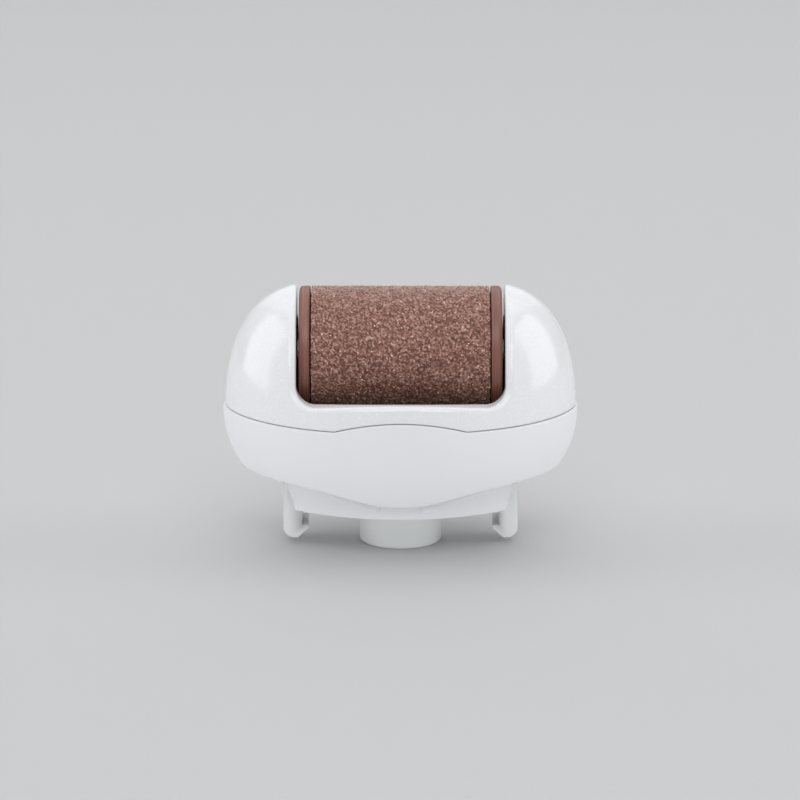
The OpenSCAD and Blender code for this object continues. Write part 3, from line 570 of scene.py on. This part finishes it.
def lower_shell():
    """Satin shell below the seam, with its chin, its underside and the seats of the housing screws."""
    turn_fine, _, run = along_seam(0, 2 * math.pi, RIM_FINE_POINTS)
    turn = np.interp(np.arange(RIM_POINTS) / RIM_POINTS * run[-1], run, turn_fine)
    x, _ = plan_point(HALF_W, HALF_D, turn)
    rim = SEAM_Z + arch(x)
    low = bottom_edge(x)
    rows = [lower_row(turn, rim, RIM_W)]
    for bend in quarter(EDGE_STEPS)[:0:-1]:
        drop = RIM_EDGE_R * (1 - math.sin(bend))
        rows.append(lower_row(turn, rim - drop, RIM_EDGE_R * (1 - math.cos(bend))))
    side_top = rim - RIM_EDGE_R
    side_low = low + BOTTOM_EDGE_R
    for share in np.linspace(0, 1, SIDE_STEPS + 1):
        rows.append(lower_row(turn, side_top + (side_low - side_top) * share, 0))
    for bend in quarter(BOTTOM_EDGE_STEPS)[1:]:
        lift = BOTTOM_EDGE_R * (1 - math.sin(bend))
        rows.append(lower_row(turn, low + lift, BOTTOM_EDGE_R * (1 - math.cos(bend))))
    rows += underside_rows(rows[-1])
    sheet = Sheet()
    sheet.grid(rows, closed=True)
    piece = new_piece("lower_shell", sheet)
    thicken(piece, SHELL_T)
    bore_screw_seats(piece)
    return piece


def bore_screw_seats(piece):
    """Round holes in the underside for the heads of the four housing screws."""
    seat_r = SCREW_HEAD_R + SCREW_SEAT_GAP
    centre = SCREW_CORNER[:2] - SCREW_HEAD_R
    turn = np.arange(SEAT_POINTS) / SEAT_POINTS * 2 * math.pi
    middle = np.repeat([[*centre, FLOOR_Z]], SEAT_POINTS, 0)
    ring = middle + seat_r * np.stack([np.cos(turn), np.sin(turn), 0 * turn], -1)
    down = (0, 0, -SCREW_SEAT_DEPTH)
    up = (0, 0, SCREW_SEAT_DEPTH)
    sheet = Sheet()
    sheet.grid([middle + down, ring + down, ring + up, middle + up], FOUR_WAYS, closed=True)
    cutter = new_piece("screw_seats", sheet)
    cut = piece.modifiers.new("screw seats", "BOOLEAN")
    cut.operation = "DIFFERENCE"
    cut.solver = "EXACT"
    cut.object = cutter
    bake_modifiers(piece)
    drop_spare_points(piece)
    piece.data.set_sharp_from_angle(angle=math.radians(SEAT_SHARP_ANGLE))
    bpy.data.objects.remove(cutter)


def drop_spare_points(piece):
    """Takes out points that lie along an edge and join only its two halves."""
    work = bmesh.new()
    work.from_mesh(piece.data)
    spare = [point for point in work.verts if len(point.link_edges) == 2]
    bmesh.ops.dissolve_verts(work, verts=spare)
    work.to_mesh(piece.data)
    work.free()


# Chin ribs: thin ribs on the plinth under the chin's edge, front and back, open in the middle

RIB_INNER_X = 3.75
RIB_OUTER_X = 15.5
RIB_PROUD = 0.45
RIB_PROUD_LOSS = 0.5
RIB_SUNK = 0.3
RIB_H = 2.25
RIB_H_LOSS = 0.35
RIB_LAP = 0.7
RIB_EDGE_R = 0.16
RIB_NOSE_R = 0.6
RIB_NOSE_LIFT = 0.7
RIB_NOSE_STEPS = 8
RIB_STEPS = 49
RIB_LEAST = 0.01


def chin_ribs():
    """Ribs that follow the plinth's bow, rounded at their inner ends and fading towards their outer ends."""
    nose_end = RIB_INNER_X + RIB_NOSE_R
    nose = RIB_INNER_X + RIB_NOSE_R * (1 - np.cos(quarter(RIB_NOSE_STEPS)))
    x = np.concatenate([nose, np.linspace(nose_end, RIB_OUTER_X, RIB_STEPS + 1)[1:]])
    face = np.sqrt(PLINTH_BOW_R ** 2 - x ** 2) - PLINTH_BOW_R + PLINTH_CORNER[1]
    full = np.sqrt(np.clip(1 - ((nose_end - x) / RIB_NOSE_R).clip(0, 1) ** 2, RIB_LEAST, 1))
    along = (x - RIB_INNER_X) / (RIB_OUTER_X - RIB_INNER_X)
    reach = full * (1 - RIB_PROUD_LOSS * along)
    high = bottom_edge(x) + RIB_LAP
    low = high - RIB_H + RIB_H_LOSS * along + RIB_NOSE_LIFT * (1 - full)
    sunk = np.full_like(x, -RIB_SUNK)
    outline = [(sunk, high), (RIB_PROUD * reach, high)]
    for turn in quarter(ROUND_STEPS):
        out = (RIB_PROUD - RIB_EDGE_R * (1 - math.cos(turn))) * reach
        outline.append((out, low + RIB_EDGE_R * (1 - math.sin(turn))))
    outline.append((sunk, low))
    rows = np.array([np.stack([x, -(face + out), z], -1) for out, z in outline])
    sheet = Sheet()
    sheet.grid(np.concatenate([rows, rows[:1]]), FOUR_WAYS)
    for end in (0, -1):
        border = np.concatenate([rows[:, end], rows[:1, end]])
        middle = np.repeat(rows[:, end].mean(0)[None], len(border), 0)
        sheet.grid([middle, border], FOUR_WAYS)
    return new_piece("chin_ribs", sheet)


# Roller: turned core with smooth rims, and a sleeve of bonded grains

ROLLER_POINTS = 256
GRIT_WELD = 0.00001
BED_TONE = 0.5


def turned(name, profile):
    """Closed ring turned about the roller's axis from a closed outline of (x, radius) points."""
    turn = np.arange(ROLLER_POINTS) / ROLLER_POINTS * 2 * math.pi
    rows = []
    for x, radius in profile:
        rows.append(np.stack([0 * turn + x, radius * np.cos(turn), ROLLER_Z + radius * np.sin(turn)], -1))
    sheet = Sheet()
    sheet.grid(rows + rows[:1], closed=True)
    return new_piece(name, sheet)


def arc(middle_x, middle_r, radius, start, end, count=6):
    """Points of an arc in an outline, between two angles in degrees."""
    turns = np.radians(np.linspace(start, end, count))
    return [(middle_x + radius * math.cos(turn), middle_r + radius * math.sin(turn)) for turn in turns]


def roller_rims():
    """Core of the roller, with a smooth round rim at each end and a groove beside the sleeve."""
    groove = SLEEVE_HALF + SLEEVE_GAP
    right = [(groove, CORE_R - BED_GAP)]
    right += arc(groove + RIM_INNER_R, RIM_R - RIM_INNER_R, RIM_INNER_R, 180, 90)
    right += arc(CORE_HALF - RIM_OUTER_R, RIM_R - RIM_OUTER_R, RIM_OUTER_R, 90, 0, count=9)
    right += arc(CORE_HALF - RIM_BORE_R, CORE_BORE_R + RIM_BORE_R, RIM_BORE_R, 0, -90, count=4)
    left = [(-x, radius) for x, radius in right[::-1]]
    return turned("roller_rims", right + left)


def scatter_grains(rng):
    """Each grain's place along and around the sleeve, its height, its lean both ways and its shade."""
    along = (np.arange(GRAINS_ALONG) + 0.5) / GRAINS_ALONG
    around = (np.arange(GRAINS_AROUND) + 0.5) / GRAINS_AROUND
    x, turn = np.meshgrid(along, around, indexing="ij")
    x = x + rng.uniform(-GRAIN_STRAY, GRAIN_STRAY, x.shape) / GRAINS_ALONG
    turn = turn + rng.uniform(-GRAIN_STRAY, GRAIN_STRAY, turn.shape) / GRAINS_AROUND
    x = x.ravel() * 2 * SLEEVE_HALF - SLEEVE_HALF
    turn = turn.ravel() * 2 * math.pi
    tall = rng.uniform(0.0, 1.0, x.size) ** GRAIN_TALL_POWER
    lean = rng.uniform(-GRAIN_LEAN, GRAIN_LEAN, (x.size, 2))
    shade = rng.uniform(0, 1, x.size)
    return x, turn, tall, lean, shade


def grit_relief(rng, xs, turns):
    """Height and tone of the grit over a grid of places, each taken from the grain that lies nearest; the
    tone is half the grain's own shade and half painted light from its height, darker in the hollows and
    lighter on tall grains.
    """
    grain_x, grain_turn, tall, lean, shade = scatter_grains(rng)
    tree = KDTree(grain_x.size)
    for grain in range(grain_x.size):
        y = ROLLER_R * math.cos(grain_turn[grain])
        z = ROLLER_R * math.sin(grain_turn[grain])
        tree.insert((grain_x[grain], y, z), grain)
    tree.balance()
    height = np.zeros((len(xs), len(turns)))
    tone = np.zeros_like(height)
    for row, x in enumerate(xs):
        for column, turn in enumerate(turns):
            here = (x, ROLLER_R * math.cos(turn), ROLLER_R * math.sin(turn))
            (_, grain, near), (_, _, second) = tree.find_n(here, 2)
            ridge = min(1.0, GRAIN_FOOT + (second - near) / GRAIN_EDGE)
            swing = math.remainder(turn - grain_turn[grain], 2 * math.pi) * ROLLER_R
            tilt = lean[grain, 0] * (x - grain_x[grain]) + lean[grain, 1] * swing
            level = ridge * (GRAIN_LOW + (1 - GRAIN_LOW) * tall[grain] + GRAIN_TILT * tilt)
            height[row, column] = min(1.0, max(0.0, level))
            # Painted shade and painted highlight: half of the tone comes from the height, so hollows and
            # grain edges are painted darker and tall grains painted lighter; the other half is the grain's
            # own shade.
            tone[row, column] = (shade[grain] + height[row, column]) / 2
    return height, tone


def grit_sleeve():
    """Sleeve of bonded grains: each one is a small leaning facet, and the ends are ragged."""
    rng = np.random.default_rng(GRIT_SEED)
    xs = np.linspace(-SLEEVE_HALF, SLEEVE_HALF, int(2 * SLEEVE_HALF / GRIT_MESH))
    around = int(2 * math.pi * ROLLER_R / GRIT_MESH)
    turns = np.arange(around) / around * 2 * math.pi
    height, tone = grit_relief(rng, xs, turns)
    radius = ROLLER_R - GRIT_DEPTH + (GRIT_DEPTH - GRIT_INSET) * height
    ring = np.stack([0 * turns, np.cos(turns), np.sin(turns)], -1)
    rows = [ring * reach[:, None] + (x, 0, ROLLER_Z) for x, reach in zip(xs, radius)]
    grain_turns = np.linspace(0, 2 * math.pi, GRAINS_AROUND)
    for end, inward in ((rows[0], 1), (rows[-1], -1)):
        ragged = rng.uniform(0, RAGGED_END, GRAINS_AROUND)
        end[:, 0] += inward * np.interp(turns, grain_turns, ragged, period=2 * math.pi)
    bed_half = SLEEVE_HALF - SLEEVE_GAP
    bed = [ring * (CORE_R + BED_GAP) + (x, 0, ROLLER_Z) for x in (bed_half, -bed_half)]
    sheet = Sheet()
    sheet.grid(rows + bed + rows[:1], closed=True)
    piece = new_piece("grit_sleeve", sheet, weld=GRIT_WELD)
    # The grain tone carries each grain's own shade, with painted shade and painted highlights from the
    # relief.
    tones = piece.data.attributes.new("grain_tone_and_painted_shade", "FLOAT", "POINT")
    values = np.full(len(piece.data.vertices), BED_TONE, np.float32)
    values[:tone.size] = tone.ravel()
    tones.data.foreach_set("value", values)
    return piece


# Finishes

def add(tree, kind, values=None, **settings):
    """A new node in a tree, with its settings and then its input values."""
    node = tree.nodes.new(kind)
    for name, setting in settings.items():
        setattr(node, name, setting)
    for name, value in (values or {}).items():
        node.inputs[name].default_value = value
    return node


def link(tree, start, end):
    tree.links.new(start, end)


def effect_group(name, inputs, outputs):
    """A node group with named sockets, and its first and last node."""
    group = bpy.data.node_groups.new(name, "ShaderNodeTree")
    for label, kind, value in inputs:
        socket = group.interface.new_socket(name=label, in_out="INPUT", socket_type=kind)
        socket.default_value = value
    for label, kind in outputs:
        group.interface.new_socket(name=label, in_out="OUTPUT", socket_type=kind)
    return group, add(group, "NodeGroupInput"), add(group, "NodeGroupOutput")


NOISE_SPREAD = {"From Min": 0.3, "From Max": 0.7}


def moulded_grain_group():
    """Fine texture of a moulded or ground surface: a height, and a roughness that drifts over it."""
    group, start, end = effect_group("moulded_grain", [
        ("Grain Size", "NodeSocketFloat", 1500.0),
        ("Roughness Low", "NodeSocketFloat", 0.3),
        ("Roughness High", "NodeSocketFloat", 0.45),
        ("Stretch", "NodeSocketVector", (1.0, 1.0, 1.0)),
    ], [("Height", "NodeSocketFloat"), ("Roughness", "NodeSocketFloat")])
    coords = add(group, "ShaderNodeTexCoord")
    scale = add(group, "ShaderNodeVectorMath", operation="MULTIPLY")
    fine = add(group, "ShaderNodeTexNoise", {"Detail": 2.0})
    broad = add(group, "ShaderNodeTexNoise", {"Scale": 60.0, "Detail": 3.0})
    spread = add(group, "ShaderNodeMapRange", NOISE_SPREAD)
    link(group, coords.outputs["Object"], scale.inputs[0])
    link(group, start.outputs["Stretch"], scale.inputs[1])
    link(group, scale.outputs[0], fine.inputs["Vector"])
    link(group, coords.outputs["Object"], broad.inputs["Vector"])
    link(group, start.outputs["Grain Size"], fine.inputs["Scale"])
    link(group, broad.outputs["Fac"], spread.inputs["Value"])
    link(group, start.outputs["Roughness Low"], spread.inputs["To Min"])
    link(group, start.outputs["Roughness High"], spread.inputs["To Max"])
    link(group, fine.outputs["Fac"], end.inputs["Height"])
    link(group, spread.outputs["Result"], end.inputs["Roughness"])
    return group


def tone_drift_group():
    """Slow drift between two close tones, with fine flecks of a third and a height for each fleck's flake."""
    group, start, end = effect_group("tone_drift", [
        ("Tone", "NodeSocketColor", (0.8, 0.8, 0.8, 1)),
        ("Second Tone", "NodeSocketColor", (0.78, 0.78, 0.78, 1)),
        ("Fleck Tone", "NodeSocketColor", (0.9, 0.9, 0.9, 1)),
        ("Drift Size", "NodeSocketFloat", 60.0),
        ("Fleck Size", "NodeSocketFloat", 3200.0),
        ("Fleck Share", "NodeSocketFloat", 0.0),
        ("Stretch", "NodeSocketVector", (1.0, 1.0, 1.0)),
    ], [("Color", "NodeSocketColor"), ("Flake", "NodeSocketFloat")])
    coords = add(group, "ShaderNodeTexCoord")
    scale = add(group, "ShaderNodeVectorMath", operation="MULTIPLY")
    drift = add(group, "ShaderNodeTexNoise", {"Detail": 3.0})
    flecks = add(group, "ShaderNodeTexVoronoi", feature="F1")
    pick = add(group, "ShaderNodeSeparateColor")
    chosen = add(group, "ShaderNodeMath", operation="LESS_THAN")
    spread = add(group, "ShaderNodeMapRange", NOISE_SPREAD)
    drifted = add(group, "ShaderNodeMix", data_type="RGBA")
    flecked = add(group, "ShaderNodeMix", data_type="RGBA")
    link(group, coords.outputs["Object"], scale.inputs[0])
    link(group, start.outputs["Stretch"], scale.inputs[1])
    link(group, scale.outputs[0], drift.inputs["Vector"])
    link(group, coords.outputs["Object"], flecks.inputs["Vector"])
    link(group, start.outputs["Drift Size"], drift.inputs["Scale"])
    link(group, start.outputs["Fleck Size"], flecks.inputs["Scale"])
    link(group, flecks.outputs["Color"], pick.inputs["Color"])
    link(group, pick.outputs["Red"], chosen.inputs[0])
    link(group, start.outputs["Fleck Share"], chosen.inputs[1])
    link(group, drift.outputs["Fac"], spread.inputs["Value"])
    link(group, spread.outputs["Result"], drifted.inputs["Factor"])
    link(group, start.outputs["Tone"], drifted.inputs["A"])
    link(group, start.outputs["Second Tone"], drifted.inputs["B"])
    link(group, chosen.outputs[0], flecked.inputs["Factor"])
    link(group, drifted.outputs["Result"], flecked.inputs["A"])
    link(group, start.outputs["Fleck Tone"], flecked.inputs["B"])
    link(group, flecked.outputs["Result"], end.inputs["Color"])
    link(group, pick.outputs["Green"], end.inputs["Flake"])
    return group


MOULDED_GRAIN = moulded_grain_group()
TONE_DRIFT = tone_drift_group()


def new_material(name):
    """A node material, with its tree and its Principled shader."""
    material = bpy.data.materials.new(name)
    material.use_nodes = True
    tree = material.node_tree
    return material, tree, tree.nodes["Principled BSDF"]


def finish(name, tone, second, rough, grain=1500.0, bump=0.05, depth=0.00002, metal=0.0, coat=0.0,
           coat_rough=0.1, fleck=None, fleck_share=0.0, fleck_size=3200.0, drift=60.0,
           stretch=(1.0, 1.0, 1.0), flake=0.0):
    """A material of one finish: drifting tone, grain in the roughness, a fine bump and, if wanted, flakes."""
    material, tree, shader = new_material(name)
    tones = add(tree, "ShaderNodeGroup", {
        "Tone": (*tone, 1),
        "Second Tone": (*second, 1),
        "Fleck Tone": (*(fleck or tone), 1),
        "Drift Size": drift,
        "Fleck Size": fleck_size,
        "Fleck Share": fleck_share,
        "Stretch": stretch,
    }, node_tree=TONE_DRIFT)
    texture = add(tree, "ShaderNodeGroup", {
        "Grain Size": grain,
        "Roughness Low": rough[0],
        "Roughness High": rough[1],
        "Stretch": stretch,
    }, node_tree=MOULDED_GRAIN)
    relief = add(tree, "ShaderNodeBump", {"Strength": bump, "Distance": depth})
    height = add(tree, "ShaderNodeMath", operation="MULTIPLY_ADD")
    height.inputs[1].default_value = flake
    link(tree, tones.outputs["Flake"], height.inputs[0])
    link(tree, texture.outputs["Height"], height.inputs[2])
    link(tree, tones.outputs["Color"], shader.inputs["Base Color"])
    link(tree, texture.outputs["Roughness"], shader.inputs["Roughness"])
    link(tree, height.outputs[0], relief.inputs["Height"])
    link(tree, relief.outputs["Normal"], shader.inputs["Normal"])
    shader.inputs["Metallic"].default_value = metal
    shader.inputs["Coat Weight"].default_value = coat
    shader.inputs["Coat Roughness"].default_value = coat_rough
    return material


# Browns over the grain tone: each grain's own shade, together with painted shade in the hollows and painted
# highlights on tall grains.
GRIT_TONE_AND_PAINTED_SHADE_RAMP = (
    (0.06, (0.03, 0.008, 0.005, 1)),
    (0.4, (0.225, 0.092, 0.065, 1)),
    (0.7, (0.5, 0.285, 0.225, 1)),
    (0.9, (0.9, 0.72, 0.63, 1)),
)


def grit_finish():
    """Bonded mineral: each grain has its own brown, with painted shade in the low hollows between grains and
    painted highlights that make a few tall grains bright.
    """
    material, tree, shader = new_material("brown_grit")
    grain = add(tree, "ShaderNodeAttribute", attribute_name="grain_tone_and_painted_shade")
    ramp = add(tree, "ShaderNodeValToRGB")
    stops = ramp.color_ramp.elements
    stops.remove(stops[1])
    stops[0].position, stops[0].color = GRIT_TONE_AND_PAINTED_SHADE_RAMP[0]
    for place, colour in GRIT_TONE_AND_PAINTED_SHADE_RAMP[1:]:
        stops.new(place).color = colour
    dust = add(tree, "ShaderNodeGroup", {
        "Grain Size": 4000.0,
        "Roughness Low": 0.4,
        "Roughness High": 0.52,
    }, node_tree=MOULDED_GRAIN)
    relief = add(tree, "ShaderNodeBump", {"Strength": 0.25, "Distance": 0.00005})
    link(tree, grain.outputs["Fac"], ramp.inputs["Fac"])
    link(tree, ramp.outputs["Color"], shader.inputs["Base Color"])
    link(tree, dust.outputs["Roughness"], shader.inputs["Roughness"])
    link(tree, dust.outputs["Height"], relief.inputs["Height"])
    link(tree, relief.outputs["Normal"], shader.inputs["Normal"])
    shader.inputs["Specular IOR Level"].default_value = 0.35
    shader.inputs["Sheen Weight"].default_value = 1.0
    shader.inputs["Sheen Roughness"].default_value = 0.4
    shader.inputs["Sheen Tint"].default_value = (1.0, 0.86, 0.79, 1)
    return material


FINISHES = {
    "pearl_white": finish(
        "pearl_white", tone=(0.80, 0.805, 0.82), second=(0.785, 0.79, 0.81), rough=(0.14, 0.19), grain=2600.0,
        coat=0.4, fleck=(0.85, 0.855, 0.87), fleck_share=0.1, fleck_size=5200.0, flake=1.5),
    "satin_white": finish(
        "satin_white", tone=(0.80, 0.805, 0.825), second=(0.785, 0.792, 0.815), rough=(0.34, 0.44),
        grain=2200.0, bump=0.1),
    "natural_acetal": finish(
        "natural_acetal", tone=(0.87, 0.885, 0.88), second=(0.855, 0.875, 0.87), rough=(0.34, 0.44),
        grain=1800.0, bump=0.08),
    "dark_plastic": finish(
        "dark_plastic", tone=(0.028, 0.028, 0.03), second=(0.02, 0.02, 0.022), rough=(0.45, 0.6), bump=0.2),
    "black_rubber": finish(
        "black_rubber", tone=(0.022, 0.022, 0.023), second=(0.016, 0.016, 0.017), rough=(0.65, 0.8),
        grain=1200.0, bump=0.3),
    "grey_plastic": finish(
        "grey_plastic", tone=(0.17, 0.18, 0.2), second=(0.15, 0.16, 0.18), rough=(0.45, 0.6), bump=0.2),
    "brown_plastic": finish(
        "brown_plastic", tone=(0.28, 0.115, 0.08), second=(0.14, 0.046, 0.032), rough=(0.3, 0.42),
        grain=6000.0, bump=0.25, depth=0.00004, coat=0.1, coat_rough=0.25, drift=2600.0,
        stretch=(1.0, 0.02, 0.02)),
    "brown_grit": grit_finish(),
    "gear_acetal": finish(
        "gear_acetal", tone=(0.76, 0.72, 0.6), second=(0.73, 0.69, 0.58), rough=(0.32, 0.42), bump=0.1),
    "steel": finish(
        "steel", tone=(0.6, 0.61, 0.63), second=(0.54, 0.55, 0.57), rough=(0.22, 0.34), grain=900.0,
        bump=0.15, metal=1.0, stretch=(0.15, 1.0, 1.0)),
    "bronze": finish(
        "bronze", tone=(0.48, 0.3, 0.13), second=(0.4, 0.24, 0.1), rough=(0.35, 0.5), grain=1400.0,
        bump=0.3, metal=1.0),
}

SLOT_OF_NODE = {part["node"]: part["material_slot"] for part in frame["record"]["subparts"]}
for node, shown in frame["nodes"].items():
    shown.data.materials.clear()
    shown.data.materials.append(FINISHES[SLOT_OF_NODE[node]])


# Pieces on their bodies

def place(piece, body, slot, *nodes):
    """Gives a piece its finish and its body, and hides the nodes that it stands for."""
    piece.data.materials.clear()
    piece.data.materials.append(FINISHES[slot])
    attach(piece, body)
    if nodes:
        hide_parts(*nodes)


place(upper_shell(), "head", "pearl_white", "upper_housing")
place(lower_shell(), "head", "satin_white", "lower_housing")
place(chin_ribs(), "head", "satin_white")
place(roller_rims(), "roller", "brown_plastic", "roller_core")
place(grit_sleeve(), "roller", "brown_grit", "abrasive_sleeve")


# Moulded edges

JOIN_WITHIN = 0.002
FLAT_WITHIN = 0.6
SLIVER_WITHIN = 0.01
MOULDED_ANGLE = 35
MOULDED_STEPS = 3


def merge_flat_faces(shown):
    """Joins a node's triangles into the flat faces that they make up."""
    weld = shown.modifiers.new("joined", "WELD")
    weld.merge_threshold = JOIN_WITHIN * MM
    flat = shown.modifiers.new("flat faces", "DECIMATE")
    flat.decimate_type = "DISSOLVE"
    flat.angle_limit = math.radians(FLAT_WITHIN)


def soften(node, width):
    """Rounds the moulded edges of a node."""
    shown = frame["nodes"][node]
    merge_flat_faces(shown)
    edge = shown.modifiers.new("moulded edge", "BEVEL")
    edge.width = width * MM
    edge.segments = MOULDED_STEPS
    edge.limit_method = "ANGLE"
    edge.angle_limit = math.radians(MOULDED_ANGLE)
    edge.harden_normals = False
    clean = shown.modifiers.new("no slivers", "WELD")
    clean.merge_threshold = SLIVER_WITHIN * MM
    even = shown.modifiers.new("even shading", "WEIGHTED_NORMAL")
    even.keep_sharp = False


merge_flat_faces(frame["nodes"]["bevel_gear"])
soften("mounting_plinth", 0.25)
soften("left_latch_arm", 0.2)
soften("right_latch_arm", 0.2)
soften("drive_boss", 0.12)


# Studio

FLOOR_HALF_W = 3000.0
FLOOR_FRONT = 1500.0
FLOOR_FLAT = 900.0
SWEEP_R = 500.0
SWEEP_STEPS = 23
BACKDROP_H = 2000.0
FLOOR_BOUNCE = (0.92, 0.92, 0.92, 1)
FLOOR_SEEN = (0.53, 0.53, 0.54, 1)


def pale_floor():
    """Floor finish: one grey where it is seen or mirrored, and a paler one for the light it sends back."""
    material, tree, shader = new_material("pale_floor")
    shader.inputs["Roughness"].default_value = 0.7
    ray = add(tree, "ShaderNodeLightPath")
    seen = add(tree, "ShaderNodeMath", operation="MAXIMUM")
    direct = add(tree, "ShaderNodeMath", operation="MAXIMUM")
    tone = add(tree, "ShaderNodeMix", {"A": FLOOR_BOUNCE, "B": FLOOR_SEEN}, data_type="RGBA")
    link(tree, ray.outputs["Is Camera Ray"], seen.inputs[0])
    link(tree, ray.outputs["Is Glossy Ray"], seen.inputs[1])
    link(tree, seen.outputs[0], direct.inputs[0])
    link(tree, ray.outputs["Is Transmission Ray"], direct.inputs[1])
    link(tree, direct.outputs[0], tone.inputs["Factor"])
    link(tree, tone.outputs["Result"], shader.inputs["Base Color"])
    return material


def studio_floor():
    """Flat floor that sweeps up into a backdrop behind the object."""
    profile = [(-FLOOR_FRONT, 0.0), (-FLOOR_FLAT, 0.0)]
    for turn in quarter(SWEEP_STEPS):
        profile.append((FLOOR_FLAT + SWEEP_R * math.sin(turn), SWEEP_R * (1 - math.cos(turn))))
    profile.append((FLOOR_FLAT + SWEEP_R, BACKDROP_H))
    sheet = Sheet()
    sheet.grid([[(-FLOOR_HALF_W, y, z), (FLOOR_HALF_W, y, z)] for y, z in profile])
    floor = new_piece("studio_floor", sheet)
    floor.data.materials.append(pale_floor())


def lamp(name, spot, aim, size, power):
    """A soft box: its spot, its aim and its two sides in metres, and its power in watts."""
    light = bpy.data.lights.new(name, "AREA")
    light.shape = "RECTANGLE"
    light.size, light.size_y = size
    light.energy = power
    holder = bpy.data.objects.new(name, light)
    bpy.context.scene.collection.objects.link(holder)
    holder.location = Vector(spot)
    holder.rotation_euler = (Vector(aim) - Vector(spot)).to_track_quat("-Z", "Y").to_euler()
    holder.visible_camera = False


def studio_air():
    """Even light from all round."""
    world = bpy.data.worlds.new("studio_air")
    world.use_nodes = True
    air = world.node_tree.nodes["Background"]
    air.inputs["Color"].default_value = (0.92, 0.93, 0.95, 1)
    air.inputs["Strength"].default_value = 0.5
    bpy.context.scene.world = world


studio_floor()
studio_air()
lamp("top_box", (0, -0.1, 1.0), (0, 0, 0.03), (1.4, 1.1), 3.0)
lamp("back_box", (0, 0.55, 0.7), (0, 0, 0.04), (1.4, 0.9), 2.4)
lamp("left_box", (-1.25, 0.15, 0.7), (0, 0.15, 0.7), (0.75, 1.3), 4.7)
lamp("right_box", (1.25, 0.15, 0.7), (0, 0.15, 0.7), (0.75, 1.3), 4.6)
lamp("front_box", (0.03, -0.8, 0.85), (0, 0, 0.02), (0.9, 0.5), 2.9)


# Camera, at the photograph's angle and scale

ELEVATION = math.radians(15)
DISTANCE = 0.9
PHOTO_PIXELS = 800
METRES_PER_PIXEL = 0.000185
SENSOR = 36
FARTHEST_SEEN = 20
AIM = Vector((-0.0001, 0, 0.0266))

eye = bpy.data.cameras.new("camera")
eye.sensor_width = SENSOR
eye.lens = SENSOR * DISTANCE / (PHOTO_PIXELS * METRES_PER_PIXEL)
eye.clip_end = FARTHEST_SEEN
camera = bpy.data.objects.new("camera", eye)
bpy.context.scene.collection.objects.link(camera)
camera.location = AIM + DISTANCE * Vector((0, -math.cos(ELEVATION), math.sin(ELEVATION)))
camera.rotation_euler = (AIM - camera.location).to_track_quat("-Z", "Y").to_euler()
bpy.context.scene.camera = camera
bpy.context.scene.view_settings.view_transform = "Standard"
